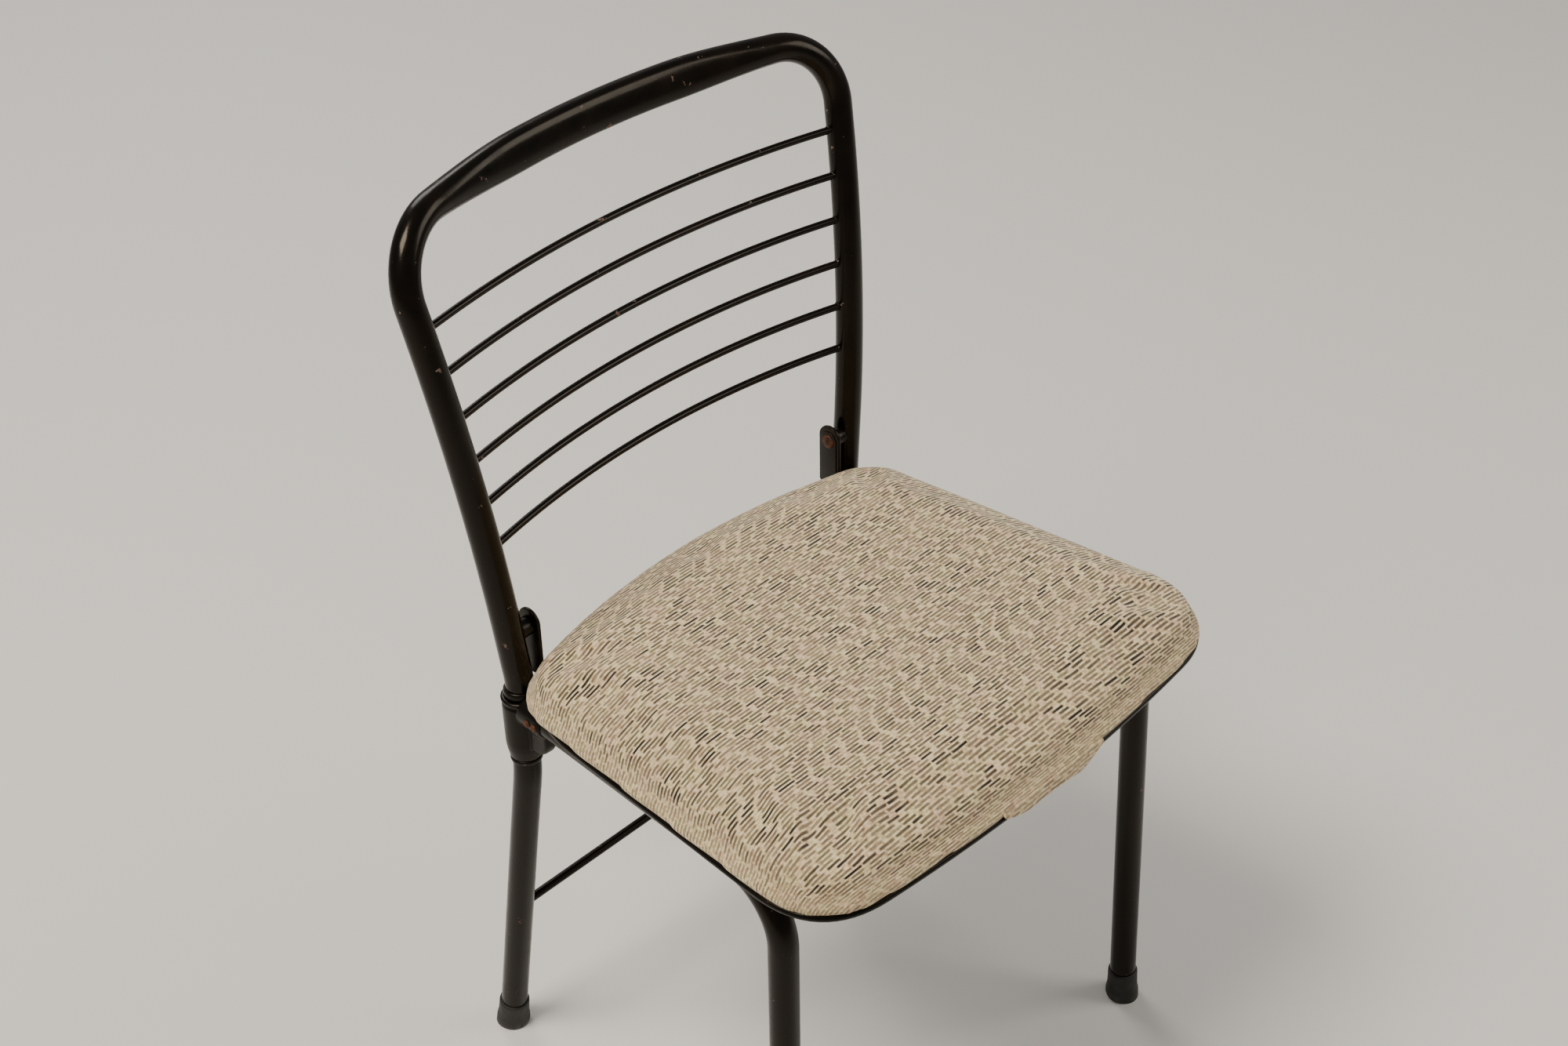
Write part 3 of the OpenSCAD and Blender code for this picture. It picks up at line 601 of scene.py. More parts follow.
def head_tree():
    """A domed rivet head on each input point, turned to the point's own normal."""
    tree = bpy.data.node_groups.new("Rivet heads", "GeometryNodeTree")
    face = tree.interface
    face.new_socket("Spots", in_out="INPUT", socket_type="NodeSocketGeometry")
    face.new_socket("Head radius", in_out="INPUT", socket_type="NodeSocketFloat")
    face.new_socket("Head height", in_out="INPUT", socket_type="NodeSocketFloat")
    face.new_socket("Finish", in_out="INPUT", socket_type="NodeSocketMaterial")
    face.new_socket("Heads", in_out="OUTPUT", socket_type="NodeSocketGeometry")
    given = add(tree, "NodeGroupInput")
    ball = add(tree, "GeometryNodeMeshUVSphere", {"Segments": 28, "Rings": 16, "Radius": 1.0})
    facing = add(tree, "GeometryNodeInputNamedAttribute", {"Name": "facing"}, data_type="FLOAT_VECTOR")
    turn = add(tree, "FunctionNodeAlignRotationToVector", {"Vector": facing.outputs["Attribute"]}, axis="Z")
    size = add(tree, "ShaderNodeCombineXYZ", {"X": given.outputs["Head radius"],
        "Y": given.outputs["Head radius"],
                                              "Z": given.outputs["Head height"]})
    heads = add(tree, "GeometryNodeInstanceOnPoints", {"Points": given.outputs["Spots"],
                                                      "Instance": ball.outputs["Mesh"], "Rotation": turn,
                                                      "Scale": size})
    solid = add(tree, "GeometryNodeRealizeInstances", {"Geometry": heads})
    smooth = add(tree, "GeometryNodeSetShadeSmooth", {"Geometry": solid})
    finished = add(tree, "GeometryNodeSetMaterial", {"Geometry": smooth, "Material": given.outputs["Finish"]})
    add(tree, "NodeGroupOutput", {"Heads": finished})
    return tree


def grown(name, seed_mesh, tree, values, finish):
    """Runs a tree on a mesh and returns the result as a plain piece."""
    holder = bpy.data.objects.new(name + "_seed", seed_mesh)
    bpy.context.scene.collection.objects.link(holder)
    modifier = holder.modifiers.new("build", "NODES")
    modifier.node_group = tree
    for socket in tree.interface.items_tree:
        if socket.in_out == "INPUT" and socket.name in values:
            modifier[socket.identifier] = values[socket.name]
    bpy.context.view_layer.update()
    graph = bpy.context.evaluated_depsgraph_get()
    mesh = bpy.data.meshes.new_from_object(holder.evaluated_get(graph), depsgraph=graph)
    holder.modifiers.remove(modifier)
    bpy.data.objects.remove(holder)
    mesh.name = name
    mesh.materials.clear()
    mesh.materials.append(material(finish))
    piece = bpy.data.objects.new(name, mesh)
    bpy.context.scene.collection.objects.link(piece)
    if not mesh.polygons:
        raise RuntimeError(f"{name}: the node tree made no faces")
    return piece


def line_mesh(lines):
    mesh = bpy.data.meshes.new("lines")
    points, edges = [], []
    for line in lines:
        edges += [(len(points) + k, len(points) + k + 1) for k in range(len(line) - 1)]
        points += line
    mesh.from_pydata([tuple(p) for p in points], edges, [])
    return mesh


def spot_mesh(spots):
    mesh = bpy.data.meshes.new("spots")
    mesh.from_pydata([tuple(p) for p, _ in spots], [], [])
    facing = mesh.attributes.new("facing", "FLOAT_VECTOR", "POINT")
    facing.data.foreach_set("vector", [c for _, d in spots for c in d])
    return mesh


# ---------------------------------------------------------------- operators
class CHAIR_OT_rear_frame(bpy.types.Operator):
    """Sweep the rear frame: legs, uprights and the flattened top rail in one tube"""
    bl_idname = "chair.rear_frame"
    bl_label = "Rear frame"

    def execute(self, context):
        sizes = context.scene.chair_sizes
        foot, low, top, knee, corner, apex = rear_lines()
        start = foot + unit(low - foot) * FOOT_FLOOR
        reach = TOP_CORNER_R * math.tan((corner - knee).angle(apex - corner) / 2)
        rail_turn = (apex - corner).angle(Vector((-TOP_HALF_W, corner.y, TOP_Z)) - apex)
        rail_r = ((apex - corner).length - reach) / math.tan(rail_turn / 2)
        right = [start, low, top, knee, corner]
        left = mirrored(right[::-1], -1)
        bends = [0, FOOT_BEND_R, GRIP_BEND_R, KNEE_R, TOP_CORNER_R]
        line = round_path(right + [apex] + left, bends + [rail_r] + bends[::-1], 4 * MM)
        along = lengths(line)
        first = next(i for i,
            p in enumerate(line) if abs(p.x) < corner.x - reach * 0.6 and p.z > TOP_Z - 3 * MM)
        end = len(line) - 1 - first
        lean = math.atan(LEAN_HIGH)
        across = Vector((0, math.cos(lean), -math.sin(lean)))

        def section(i, sides):
            run = min(along[i] - along[first], along[end] - along[i])
            share = min(max(run / sizes.flattening, 0.0), 1.0)
            share = share * share * (3 - 2 * share)
            deep = sizes.tube_radius + (sizes.rail_depth / 2 - sizes.tube_radius) * share
            tall = sizes.tube_radius + (sizes.rail_height / 2 - sizes.tube_radius) * share
            power = 2 / (2 + 0.9 * share)      # the flats are a little flatter than an ellipse's
            out = []
            for k in range(sides):
                c, s = math.cos(2 * math.pi * k / sides), math.sin(2 * math.pi * k / sides)
                out.append((deep * math.copysign(abs(c) ** power, c), tall * math.copysign(abs(s) ** power, s)))
            return out

        points, faces = sweep(line, section, across, sizes.tube_sides)
        piece = new_piece("rear_tube", points, faces, "enamel")
        sharpen(piece, 50)
        settle(piece, "root", ["back_frame"])
        return {"FINISHED"}


class CHAIR_OT_wires(bpy.types.Operator):
    """Grow the six back wires and the lower rod with their weld beads"""
    bl_idname = "chair.wires"
    bl_label = "Wires and rod"

    def execute(self, context):
        sizes = context.scene.chair_sizes
        bow, tree, lines = 25 * MM, tube_tree(), []
        inset = sizes.tube_radius - 2.2 * MM
        for i in range(6):
            at = upright_at((708 - 35.5 * i) * MM)
            half = at.x
            radius = (half * half + bow * bow) / (2 * bow)
            spread = math.asin((half - inset) / radius)
            lines.append([Vector((radius * math.sin(a), at.y + bow - radius + radius * math.cos(a), at.z))
                          for a in (spread * (2 * k / 48 - 1) for k in range(49))])
        values = {"Bar radius": sizes.wire_radius, "Bead radius": 4.3 * MM, "Bead roughness": 2.2 * MM,
            "Seed": 3,
                  "Finish": material("enamel")}
        piece = grown("back_wires", line_mesh(lines), tree, values, "enamel")
        settle(piece, "root", [f"back_wire_{i}" for i in range(1, 7)])
        foot, low = rear_lines()[:2]
        at = foot.lerp(low, 155 * MM / low.z)
        ends = [Vector((side * (at.x - inset), at.y, at.z)) for side in (-1, 1)]
        rod = [ends[0].lerp(ends[1], k / 8) for k in range(9)]
        values.update({"Bar radius": sizes.rod_radius, "Bead radius": 5 * MM})
        piece = grown("lower_rod", line_mesh([rod]), tree, values, "enamel")
        settle(piece, "root", ["rear_cross_rod"])
        return {"FINISHED"}


class CHAIR_OT_gates(bpy.types.Operator):
    """Sweep the two gate tubes: side rail, bend and front leg"""
    bl_idname = "chair.gates"
    bl_label = "Gate tubes"

    def execute(self, context):
        sizes = context.scene.chair_sizes
        root, top, foot = gate_lines()
        start = root + unit(top - root) * 15.8 * MM
        finish = foot + unit(top - foot) * FOOT_FLOOR
        for name, side in SIDES:
            line = mirrored(round_path([start, top, finish], [0, 48 * MM, 0], 3 * MM), side)
            points, faces = sweep(line, ring(sizes.tube_radius), Vector((1, 0, 0)), sizes.tube_sides)
            piece = new_piece(f"gate_tube_skin_{name}", points, faces, "enamel")
            sharpen(piece, 50)
            settle(piece, f"gate_{name}", [f"gate_tube_{name}"])
        return {"FINISHED"}


class CHAIR_OT_knuckles(bpy.types.Operator):
    """Form the two knuckles: sleeve, rail socket and gusset run together"""
    bl_idname = "chair.knuckles"
    bl_label = "Knuckles"

    def execute(self, context):
        frame_at = on_rail()
        sleeve = [(11.5, 8.9), (14.4, 8.9), (15.5, 8.2), (15.8, 7.0), (15.5, 5.6), (14.5, 4.9), (13.9, 4.0),
                  (14.1, 2.9), (14.9, 2.0), (15.1, 0.5), (15.0, -16.0), (14.8, -34.0), (14.3, -39.5),
                  (13.4, -44.2), (12.7, -47.6), (12.2, -48.9), (11.5, -49.0)]
        socket = [(0.0, -10.0), (13.2, -10.0), (13.2, -32.0), (12.9, -34.8), (12.0, -36.0), (0.0, -36.0)]
        reach, drop, corner = 35.0, 36.0, 17.0
        arc = [math.radians(180 + 9 * k) for k in range(11)]
        outline = [(-reach, 2.0)]
        outline += [(-reach + corner + corner * math.cos(a),
            -drop + corner + corner * math.sin(a)) for a in arc]
        outline += [(-6.0, -drop), (-12.2, -30.0), (-12.2, 2.0)]
        thick = 11.0
        lie = Matrix(((0, 0, 1, -thick / 2 * MM), (1, 0, 0, 0), (0, 1, 0, 0), (0, 0, 0, 1)))
        for name, side in SIDES:
            turned = Matrix.Rotation(math.pi / 2, 4, "X")
            skins = merge(
                lathe([(r * MM, z * MM) for r, z in sleeve], Matrix.Identity(4), 56),
                lathe([(r * MM, -z * MM) for r, z in socket], turned, 40),
                plate([(x * MM, y * MM) for x, y in outline], thick * MM, lie, 3.2 * MM, 4))
            piece = new_piece(f"knuckle_skin_{name}", skins[0], skins[1], "hinge")
            remesh = piece.modifiers.new("join", "REMESH")
            remesh.mode, remesh.voxel_size, remesh.adaptivity = "VOXEL", 0.75 * MM, 0
            soften = piece.modifiers.new("soften", "SMOOTH")
            soften.factor, soften.iterations = 0.5, 5
            bpy.context.view_layer.update()
            graph = bpy.context.evaluated_depsgraph_get()
            mesh = bpy.data.meshes.new_from_object(piece.evaluated_get(graph), depsgraph=graph)
            piece.modifiers.clear()
            piece.data = mesh
            mesh.transform(frame_at)
            if side < 0:
                mesh.transform(Matrix.Diagonal((-1, 1, 1, 1)))
            mesh.shade_smooth()
            settle(piece, f"gate_{name}", [f"knuckle_{name}"])
        return {"FINISHED"}


class CHAIR_OT_hinge_parts(bpy.types.Operator):
    """Make the stop rings, the seat's hinge arms with their spacers, and every rivet head"""
    bl_idname = "chair.hinge_parts"
    bl_label = "Rings, arms and rivets"

    def execute(self, context):
        tube = context.scene.chair_sizes.tube_radius / MM
        heads = head_tree()
        pivot = HINGE["seat_fold"]
        at = upright_at(pivot.z)
        arm_x, arm_t = HINGE_HALF_W / MM - tube - 3.4, 3.0
        for name, side in SIDES:
            flip = Matrix.Diagonal((side, 1, 1, 1))
            ring_at = flip @ SEAT_FRAME @ Matrix.Translation((HINGE_HALF_W, 0, 0))
            upper = [(tube, 9.3), (tube + 1.3, 9.4), (tube + 1.9, 10.4), (tube + 1.95, 12.8), (tube + 1.8,
                15.0),
                     (tube + 1.0, 16.1), (tube, 16.3)]
            lower = [(tube, -53.3), (tube + 1.0, -53.1), (tube + 1.4, -52.2), (tube + 1.4, -50.4),
                     (tube + 1.0, -49.4), (tube, -49.3)]
            skins = merge(*(lathe([(r * MM, z * MM) for r, z in profile], ring_at) for profile in (upper,
                lower)))
            piece = new_piece(f"leg_rings_{name}", *skins, "hinge")
            settle(piece, "root", [f"stop_rings_{name}"])
            # spacer between tube and arm
            bush_at = flip @ placed(Vector((0, 1, 0)), Vector((0, 0, 1)), Vector((1, 0, 0)),
                                    Vector((0, at.y, at.z)))
            span = ((arm_x + 0.05), at.x / MM - tube + 3)
            bush = [(4.05, span[0]), (6.9, span[0]), (7.5, span[0] + 0.6), (7.3, span[0] + 1.6), (7.6,
                span[1] - 1.5),
                    (8.2, span[1]), (4.05, span[1])]
            piece = new_piece(f"pivot_spacer_{name}", *lathe([(r * MM, z * MM) for r, z in bush], bush_at),
                "hinge")
            settle(piece, "root", [f"pivot_bush_{name}"])
            # arm: upright ear with a raised edge, and the flange under the pan
            ear_y = (pivot.y - SHIFT) / MM * math.cos(TILT) - (pivot.z - RAIL_Z) / MM * math.sin(TILT)
            ear_z = (pivot.y - SHIFT) / MM * math.sin(TILT) + (pivot.z - RAIL_Z) / MM * math.cos(TILT)
            half, foot_z = 11.0, 19.4
            arc = [math.radians(180 - 10 * k) for k in range(19)]
            outline = [(-46.0, foot_z), (-46.0, foot_z + 2.9), (ear_y - half - 8, foot_z + 2.9),
                       (ear_y - half - 2.4, foot_z + 5), (ear_y - half, foot_z + 11)]
            outline += [(ear_y + half * math.cos(a), ear_z + 3 + half * math.sin(a)) for a in arc]
            outline += [(ear_y + half, foot_z + 4), (ear_y + half - 4, foot_z)]
            stand = Matrix(((0, 0, 1, (arm_x - arm_t) * MM), (1, 0, 0, 0), (0, 1, 0, 0), (0, 0, 0, 1)))
            lay = Matrix.Translation((0, 0, foot_z * MM))
            flange = [((arm_x - arm_t - 10), -45.8), (arm_x - 0.2, -45.8), (arm_x - 0.2, -12.2),
                      (arm_x - arm_t - 6, -12.2), (arm_x - arm_t - 10, -16)]
            inner = 8.3                         # a pressed dish inside the raised edge
            dish = [(ear_y + inner * math.cos(a), ear_z + 1 + inner * math.sin(a)) for a in arc]
            dish += [(ear_y + inner, foot_z + 8), (ear_y - inner, foot_z + 8)]
            dish_at = Matrix(((0, 0, 1, (arm_x - arm_t - 0.9) * MM), (1, 0, 0, 0), (0, 1, 0, 0), (0, 0, 0, 1)))
            skins = merge(plate([(x * MM, y * MM) for x, y in outline], arm_t * MM, stand, 0.9 * MM),
                          plate([(x * MM, y * MM) for x, y in dish], 1.2 * MM, dish_at, 0.5 * MM),
                          plate([(x * MM, y * MM) for x, y in flange], arm_t * MM, lay, 0.6 * MM))
            points = [flip @ SEAT_FRAME @ p for p in skins[0]]
            piece = new_piece(f"seat_arm_{name}", points, skins[1], "hinge")
            sharpen(piece, 50)
            settle(piece, "seat", [f"hinge_arm_{name}"])
            # rivet heads
            inwards = Vector((-side, 0, 0))
            spot = Vector((side * (arm_x - arm_t - 0.9) * MM, at.y, at.z))
            piece = grown(f"pivot_rivet_{name}", spot_mesh([(spot, inwards)]), heads,
                          {"Head radius": 6.2 * MM, "Head height": 2.3 * MM,
                              "Finish": material("rivet")}, "rivet")
            settle(piece, "root", [f"seat_rivet_{name}"])
            spots = []
            for y in (-23, -31):
                for end in (-1, 1):
                    p = flip @ on_rail() @ Vector((end * 13.1 * MM, y * MM, 0))
                    d = flip.to_3x3() @ on_rail().to_3x3() @ Vector((end, 0, 0))
                    spots.append((p, d))
            piece = grown(f"socket_rivets_{name}", spot_mesh(spots), heads,
                          {"Head radius": 3.5 * MM, "Head height": 1.8 * MM,
                              "Finish": material("rivet")}, "rivet")
            settle(piece, f"gate_{name}", [f"knuckle_rivets_{name}"])
        return {"FINISHED"}


class CHAIR_OT_feet(bpy.types.Operator):
    """Turn the four rubber feet and cut them level at the floor"""
    bl_idname = "chair.feet"
    bl_label = "Rubber feet"

    def execute(self, context):
        tube = context.scene.chair_sizes.tube_radius / MM
        profile = [(0, -6), (14.0, -6), (14.2, 3.0), (14.1, 7.0), (13.6, 9.5), (13.1, 12.5), (12.9, 18), (12.7,
            24),
                   (12.75, 26.5), (12.6, 28.6), (12.1, 29.7), (tube + 0.2, 30), (tube + 0.1, 29), (tube + 0.05,
                       4.2),
                   (0, 4.2)]
        rear, front = rear_lines(), gate_lines()
        for kind, low, high, body in (("rear", rear[0], rear[1], "root"), ("front", front[2], front[1],
            "gate_")):
            for name, side in SIDES:
                points, faces = lathe([(r * MM, z * MM) for r, z in profile], axis_frame(low, high - low))
                points = [Vector((p.x * side, p.y, max(p.z, 0.0))) for p in points]
                piece = new_piece(f"rubber_foot_{kind}_{name}", points, faces, "rubber")
                sharpen(piece, 50)
                settle(piece, body if body == "root" else body + name, [f"{kind}_foot_{name}"])
        return {"FINISHED"}


# ---------------------------------------------------------------- seat outline
SEAT = {"half_w": 199.0, "taper": 0.0907, "front": 344.0, "rear": 17.0, "front_bow": 16.5, "rear_bow": 35.0,
        "front_corner": 62.0, "rear_corner": 66.0}
CUSHION_REAR_CORNER = 36.0                     # the stuffed corners are squarer than the pan's, mm
PAN_Z = 22.4                                   # the pan's plate, from the rails' centre line, mm


def seat_corner(y0, bow, w, size, inset):
    x1 = w - size
    y1 = y0 + bow * (1 - (x1 / w) ** 2)
    m = -2 * bow * x1 / (w * w)
    base, slope = SEAT["half_w"] - inset, SEAT["taper"]
    cx = (base - slope * (y1 - m * x1)) / (1 + slope * m)
    cy = y1 + m * (cx - x1)
    y2 = y0 + (size if bow < 0 else -size)
    return (x1, y1), (cx, cy), (base - slope * y2, y2)


def seat_outline(inset, fine=16, rear_size=SEAT["rear_corner"]):
    """Closed outline in the seat plane in mm, counter-clockwise from the front's middle, drawn in by inset."""
    yf, yr = -SEAT["front"] + inset, -SEAT["rear"] - inset
    wf, wr = (SEAT["half_w"] - inset - SEAT["taper"] * y for y in (yf, yr))

    def curve(k):
        a, b, c = (np.array(p) for p in k)
        return [tuple(a * (1 - t) ** 2 + b * 2 * t * (1 - t) + c * t * t) for t in np.linspace(0, 1, fine + 1)]

    front = curve(seat_corner(yf, -SEAT["front_bow"], wf, SEAT["front_corner"] - inset, inset))
    rear = curve(seat_corner(yr, SEAT["rear_bow"], wr, rear_size - inset, inset))[::-1]
    flat = [(front[0][0] * i / fine, yf - SEAT["front_bow"] * (1 - (front[0][0] * i / fine / wf) ** 2))
            for i in range(fine)]
    side = [tuple(np.array(front[-1]) * (1 - t) + np.array(rear[0]) * t) for t in np.linspace(0, 1,
        fine + 1)[1:-1]]
    back = [(rear[-1][0] * (1 - i / fine),
        yr + SEAT["rear_bow"] * (1 - (rear[-1][0] * (1 - i / fine) / wr) ** 2))
            for i in range(1, fine + 1)]
    half = flat + front + side + rear + back
    return half + [(-x, y) for x, y in half[-2:0:-1]]


def outward(outline):
    """Outward unit normal at each outline point."""
    p = np.array(outline)
    t = np.roll(p, -1, 0) - np.roll(p, 1, 0)
    n = np.stack([t[:, 1], -t[:, 0]], 1)
    return n / np.linalg.norm(n, axis=1)[:, None]


class CHAIR_OT_pan(bpy.types.Operator):
    """Roll the pan's rim round the outline and lay its plate"""
    bl_idname = "chair.pan"
    bl_label = "Seat pan"

    def execute(self, context):
        bead = context.scene.chair_sizes.bead_radius / MM
        outline = np.array(seat_outline(0))
        normal = outward(outline)
        centre_out, centre_z = 2.5 - bead, 11.5 + bead
        turn = np.radians(np.linspace(60, -250, 26))
        section = [(centre_out + bead * math.cos(a), centre_z + bead * math.sin(a)) for a in turn]
        section += [(-4.4, PAN_Z - 3), (-4.4, PAN_Z + 0.9), (-3.0, PAN_Z + 0.9), (-3.0, centre_z + bead + 2.0),
                    (-1.6, centre_z + bead + 0.3)]
        points = [SEAT_FRAME @ (Vector((p[0] + n[0] * o, p[1] + n[1] * o, z)) * MM)
                  for p, n in zip(outline, normal) for o, z in section]
        size, count = len(section), len(outline)
        faces = [(i * size + k, i * size + (k + 1) % size, (i + 1) % count * size + (k + 1) % size,
                  (i + 1) % count * size + k) for i in range(count) for k in range(size)]
        inner = [(p[0] - n[0] * 4.2, p[1] - n[1] * 4.2) for p, n in zip(outline, normal)]
        floor = plate([(x * MM, y * MM) for x, y in inner], 1.1 * MM,
                      SEAT_FRAME @ Matrix.Translation((0, 0, PAN_Z * MM)), 0.3 * MM, 1)
        skins = merge((points, faces), floor)
        piece = new_piece("pan_with_rolled_rim", *skins, "pan")
        sharpen(piece, 50)
        settle(piece, "seat", ["seat_pan"])
        return {"FINISHED"}


def cushion_start():
    """Closed start shape of the cushion in the seat plane, mm: rounded shoulders, a gentle crown."""
    levels = [(5.0, 15.0), (-2.0, 15.2), (-3.2, 18.0), (-3.3, 27.0), (-2.2, 36.0), (1.0, 43.0), (6.0, 47.4),
              (14.0, 50.4), (28.0, 52.0), (60.0, 52.8), (100.0, 53.2)]
    points, faces = [], []
    base = np.array(seat_outline(0, rear_size=CUSHION_REAR_CORNER))
    normal = outward(base)
    centre = np.array((0.0, -175.0))
    count = len(base)
    for inset, z in levels:
        if inset < 20:
            ring_at = base - normal * inset
        else:                                  # far in, the rings shrink towards the middle
            reach = np.linalg.norm(base - centre, axis=1)[:, None]
            ring_at = centre + (base - centre) * (1 - inset / reach)
        points += [(x, y, z) for x, y in ring_at]
    rows = len(levels)
    points += [(centre[0], centre[1], levels[0][1]), (centre[0], centre[1], levels[-1][1] + 0.2)]
    for i in range(rows - 1):
        for k in range(count):
            q = (k + 1) % count
            faces.append((i * count + k, i * count + q, (i + 1) * count + q, (i + 1) * count + k))
    for k in range(count):
        q = (k + 1) % count
        faces.append((q, k, rows * count))
        faces.append(((rows - 1) * count + k, (rows - 1) * count + q, rows * count + 1))
    return [Vector(p) * MM for p in points], faces


def inflate(piece, held, cap):
    """Swells a closed mesh as a cloth bag under pressure, with points below a height held, then applies it."""
    rest = np.array([v.co for v in piece.data.vertices])
    group = piece.vertex_groups.new(name="held")
    group.add([int(i) for i in np.nonzero(rest[:, 2] < held)[0]], 1.0, "REPLACE")
    cloth = piece.modifiers.new("swell", "CLOTH")
    cloth.settings.vertex_group_mass = "held"
    cloth.settings.use_pressure = True
    cloth.settings.uniform_pressure_force = 4
    cloth.settings.effector_weights.gravity = 0
    cloth.settings.quality = 5
    cloth.settings.tension_stiffness = cloth.settings.compression_stiffness = 15
    cloth.point_cache.frame_start, cloth.point_cache.frame_end = 1, 20
    scene = bpy.context.scene
    for step in range(1, 21):
        scene.frame_set(step)
    graph = bpy.context.evaluated_depsgraph_get()
    done = piece.evaluated_get(graph).to_mesh()
    moved = np.array([v.co for v in done.vertices])
    piece.evaluated_get(graph).to_mesh_clear()
    piece.modifiers.remove(cloth)
    scene.frame_set(1)
    shift = moved - rest
    length = np.linalg.norm(shift, axis=1)[:, None]
    shift = shift * np.minimum(1.0, cap / np.maximum(length, 1e-9))
    piece.data.vertices.foreach_set("co", (rest + shift).ravel())
    piece.data.update()
    piece.vertex_groups.remove(group)


def cloth_coordinates(points, outline, normal):
    """Where each point lies on the flat cloth: over the top as seen from above, down the sides by its drop."""
    flat = points[:, :2]
    nearest = np.zeros(len(points), int)
    for start in range(0, len(points), 4000):
        part = flat[start:start + 4000]
        nearest[start:start + 4000] = np.argmin(
            ((part[:, None, :] - outline[None, :, :]) ** 2).sum(2), axis=1)
    n = normal[nearest]
    outside = ((flat - outline[nearest]) * n).sum(1)         # below 0 inside the outline
    share = np.clip((outside + 24.0) / 24.0, 0, 1)
    drop = np.clip(44.0 - points[:, 2], 0, None) * share
    return flat + n * drop[:, None], drop, outside


class CHAIR_OT_cushion(bpy.types.Operator):
    """Swell the cushion as cloth, then lay the tweed over it and tuck its underside on the board"""
    bl_idname = "chair.cushion"
    bl_label = "Cushion"

    def execute(self, context):
        sizes = context.scene.chair_sizes
        points, faces = cushion_start()
        piece = new_piece("seat_cushion", points, faces, "tweed")
        settle_mesh = bmesh.new()
        settle_mesh.from_mesh(piece.data)
        bmesh.ops.recalc_face_normals(settle_mesh, faces=settle_mesh.faces)
        settle_mesh.to_mesh(piece.data)
        settle_mesh.free()
        remesh = piece.modifiers.new("grid", "REMESH")
        remesh.mode, remesh.voxel_size = "VOXEL", sizes.cloth_voxel
        bpy.context.view_layer.update()
        graph = context.evaluated_depsgraph_get()
        mesh = bpy.data.meshes.new_from_object(piece.evaluated_get(graph), depsgraph=graph)
        piece.modifiers.clear()
        piece.data = mesh
        inflate(piece, 23.0 * MM, sizes.seat_crown)
        # one subdivision, a light smoothing, and the result applied
        finer = piece.modifiers.new("finer", "SUBSURF")
        finer.levels = finer.render_levels = 1
        bpy.context.view_layer.update()
        graph = context.evaluated_depsgraph_get()
        mesh = bpy.data.meshes.new_from_object(piece.evaluated_get(graph), depsgraph=graph)
        piece.modifiers.clear()
        piece.data = mesh
        co = np.array([v.co for v in mesh.vertices]) / MM
        outline = np.array(seat_outline(0, 48, CUSHION_REAR_CORNER))
        normal = outward(outline)
        cloth, drop, outside = cloth_coordinates(co, outline, normal)
        # the underside rises onto the board, inside the rim
        under = (co[:, 2] < 16.4) & (outside < -5.0)
        lift = np.clip((-5.0 - outside) / 3.0, 0, 1) * (23.7 - co[:, 2])
        co[:, 2] += np.where(under, lift, 0)
        # slight wear: shallow dimples where it is sat on, and a wandering lower edge
        for i, p in enumerate(co):
            if p[2] > 40:
                p[2] += 0.5 * noise.noise(Vector((p[0] / 45, p[1] / 45, 3.0)))
            elif outside[i] > -6:
                side = max(0.0, min(1.0, (25 - p[2]) / 8))
                wave = noise.noise(Vector((cloth[i, 0] / 38, cloth[i, 1] / 38, 7.0)))
                p[:2] += normal_at(outline, normal, p) * side * 0.4 * wave
                p[2] -= side * 0.35 * wave
        mesh.vertices.foreach_set("co", (co * MM).ravel())
        lay_cloth(mesh, cloth * MM, np.clip((drop - 4) / 12, 0, 1))
        mesh.transform(SEAT_FRAME)
        mesh.shade_smooth()
        mesh.update()
        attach(piece, "seat")
        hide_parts("seat_cover", "seat_foam", "seat_board")
        return {"FINISHED"}


def normal_at(outline, normal, point):
    return normal[int(np.argmin(((outline - point[:2]) ** 2).sum(1)))]


def lay_cloth(mesh, flat, side):
    """Writes the cloth's own coordinates as a UV map, and how far down the side each point lies."""
    layer = mesh.uv_layers.new(name="Cloth")
    loops = np.zeros(len(mesh.loops), int)
    mesh.loops.foreach_get("vertex_index", loops)
    layer.data.foreach_set("uv", flat[loops].astype(np.float32).ravel())
    down = mesh.attributes.new("side", "FLOAT", "POINT")
    down.data.foreach_set("value", side.astype(np.float32))


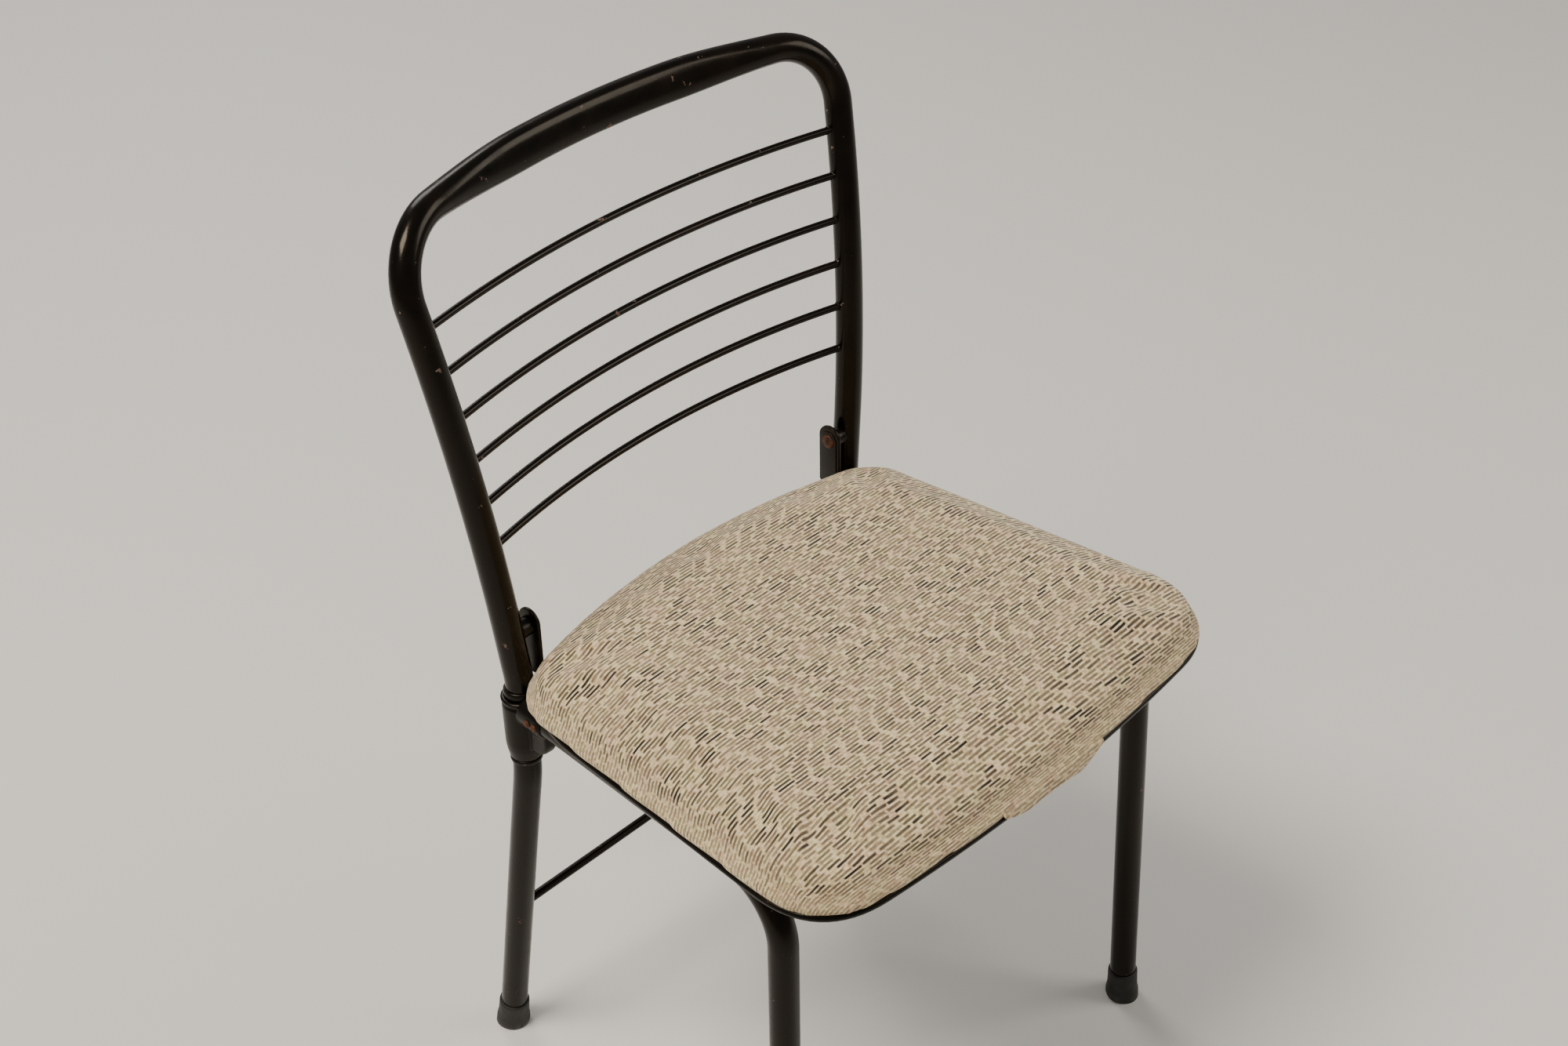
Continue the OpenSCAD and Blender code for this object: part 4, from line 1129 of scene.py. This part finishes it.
class CHAIR_OT_loose_hem(bpy.types.Operator):
    """Hang the loose edge of the cover over the rim at the front"""
    bl_idname = "chair.loose_hem"
    bl_label = "Loose hem"

    def execute(self, context):
        outline = np.array(seat_outline(0, 48))
        normal = outward(outline)
        walk = np.concatenate([[0], np.cumsum(np.linalg.norm(np.diff(outline, axis=0), axis=1))])
        begin, end, rows, columns = -58.0, 54.0, 8, 60
        points, flat, faces = [], [], []
        for i in range(columns + 1):
            t = i / columns
            s = begin + (end - begin) * t
            p = np.array([np.interp(abs(s), walk, outline[:, k]) for k in (0, 1)])
            p[0] = math.copysign(p[0], s)
            n = normal_at(outline, normal, p)
            hang = 2.0 + 9.0 * math.sin(math.pi * t ** 0.8) ** 0.6 + 6.0 * math.exp(-((t - 0.8) / 0.13) ** 2)
            fray = 0.9 * noise.noise(Vector((s / 1.7, 2.0, 0.0))) + 0.7 * noise.noise(Vector((s / 6.0, 5.0,
                0.0)))
            for k in range(rows + 1):
                v = k / rows
                out = 2.6 + 2.2 * v ** 0.7 + 0.5 * v * math.sin(s / 7.5)
                z = 22.0 - (hang + fray) * v
                points.append(SEAT_FRAME @ (Vector((p[0] + n[0] * out, p[1] + n[1] * out, z)) * MM))
                flat.append((p + n * (22 + (hang + fray) * v)) * MM)
        for i in range(columns):
            for k in range(rows):
                a = i * (rows + 1) + k
                faces.append((a, a + rows + 1, a + rows + 2, a + 1))
        piece = new_piece("loose_hem", points, faces, "tweed")
        lay_cloth(piece.data, np.array(flat), np.full(len(points), 0.9))
        wall = piece.modifiers.new("thickness", "SOLIDIFY")
        wall.thickness, wall.offset = 0.9 * MM, 0
        bpy.context.view_layer.update()
        graph = context.evaluated_depsgraph_get()
        mesh = bpy.data.meshes.new_from_object(piece.evaluated_get(graph), depsgraph=graph)
        piece.modifiers.clear()
        piece.data = mesh
        mesh.shade_smooth()
        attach(piece, "seat")
        return {"FINISHED"}


class CHAIR_OT_carried(bpy.types.Operator):
    """Give the CAD nodes that stay in view their finishes"""
    bl_idname = "chair.carried"
    bl_label = "Carried parts"

    def execute(self, context):
        for name in ("arm_screws", "board_screws", "rear_foot_washers", "front_foot_washer_left",
                     "front_foot_washer_right"):
            node = frame["nodes"][name]
            node.data.materials.clear()
            node.data.materials.append(material("zinc"))
        return {"FINISHED"}


class CHAIR_OT_stage(bpy.types.Operator):
    """Lay the pale floor, hang the soft lights and place the camera"""
    bl_idname = "chair.stage"
    bl_label = "Stage"

    def execute(self, context):
        reach = 14.0
        floor = new_piece("studio_floor", [Vector((x, y, 0)) for x, y in
                          ((-reach, -reach), (reach, -reach), (reach, reach), (-reach, reach))], [(0, 1, 2, 3)],
                          "floor")
        lights = (
            ("key", (-1.5, 0.4, 3.0), 1.2, 92, (1.0, 0.94, 0.85)),
            ("fill", (2.2, -2.0, 2.2), 1.6, 42, (1.0, 0.96, 0.9)),
            ("rear", (0.9, 2.7, 2.5), 1.4, 34, (1.0, 0.98, 0.95)),
        )
        for name, place, size, power, tint in lights:
            data = bpy.data.lights.new(name, "AREA")
            data.shape, data.size, data.energy, data.color = "SQUARE", size, power, tint
            light = bpy.data.objects.new(name, data)
            light.location = place
            light.rotation_mode = "QUATERNION"
            light.rotation_quaternion = (Vector((0, 0, 0.45)) - Vector(place)).to_track_quat("-Z", "Y")
            context.scene.collection.objects.link(light)
        world = bpy.data.worlds.new("Soft room")
        world.use_nodes = True
        sky = world.node_tree.nodes["Background"]
        sky.inputs["Color"].default_value = (1.0, 0.985, 0.96, 1)
        sky.inputs["Strength"].default_value = 0.24
        context.scene.world = world
        yaw, pitch, roll = math.radians(48.02), math.radians(36.97), 0.0282
        forward = Vector((math.sin(yaw) * math.cos(pitch), math.cos(yaw) * math.cos(pitch), -math.sin(pitch)))
        level = Vector((math.cos(yaw), -math.sin(yaw), 0))
        up = level.cross(forward)
        right = level * math.cos(roll) + up * math.sin(roll)
        up = up * math.cos(roll) - level * math.sin(roll)
        data = bpy.data.cameras.new("camera")
        data.sensor_width, data.lens = 36.0, 55.8
        camera = bpy.data.objects.new("camera", data)
        camera.matrix_world = placed(right, up, -forward, Vector((-1.0750, -1.0635 + SHIFT, 1.6003)))
        context.scene.collection.objects.link(camera)
        context.scene.camera = camera
        return {"FINISHED"}


BUILDERS = (CHAIR_OT_rear_frame, CHAIR_OT_wires, CHAIR_OT_gates, CHAIR_OT_knuckles, CHAIR_OT_hinge_parts,
            CHAIR_OT_feet, CHAIR_OT_pan, CHAIR_OT_cushion, CHAIR_OT_loose_hem, CHAIR_OT_carried, CHAIR_OT_stage)


class CHAIR_PT_panel(bpy.types.Panel):
    """Sizes, colours and build steps of the chair"""
    bl_idname = "CHAIR_PT_panel"
    bl_label = "Folding chair"
    bl_space_type = "VIEW_3D"
    bl_region_type = "UI"
    bl_category = "Chair"

    def draw(self, context):
        for group in (context.scene.chair_sizes, context.scene.chair_colours):
            box = self.layout.box()
            for name in group.__annotations__:
                box.prop(group, name)
        for builder in BUILDERS:
            self.layout.operator(builder.bl_idname)


CLASSES = (ChairSizes, ChairColours) + BUILDERS + (CHAIR_PT_panel,)


def register():
    for cls in CLASSES:
        bpy.utils.register_class(cls)
    bpy.types.Scene.chair_sizes = PointerProperty(type=ChairSizes)
    bpy.types.Scene.chair_colours = PointerProperty(type=ChairColours)


def unregister():
    del bpy.types.Scene.chair_colours
    del bpy.types.Scene.chair_sizes
    for cls in reversed(CLASSES):
        bpy.utils.unregister_class(cls)


def main():
    register()
    for builder in BUILDERS:
        group, name = builder.bl_idname.split(".")
        getattr(getattr(bpy.ops, group), name)()


if __name__ == "__main__":
    main()
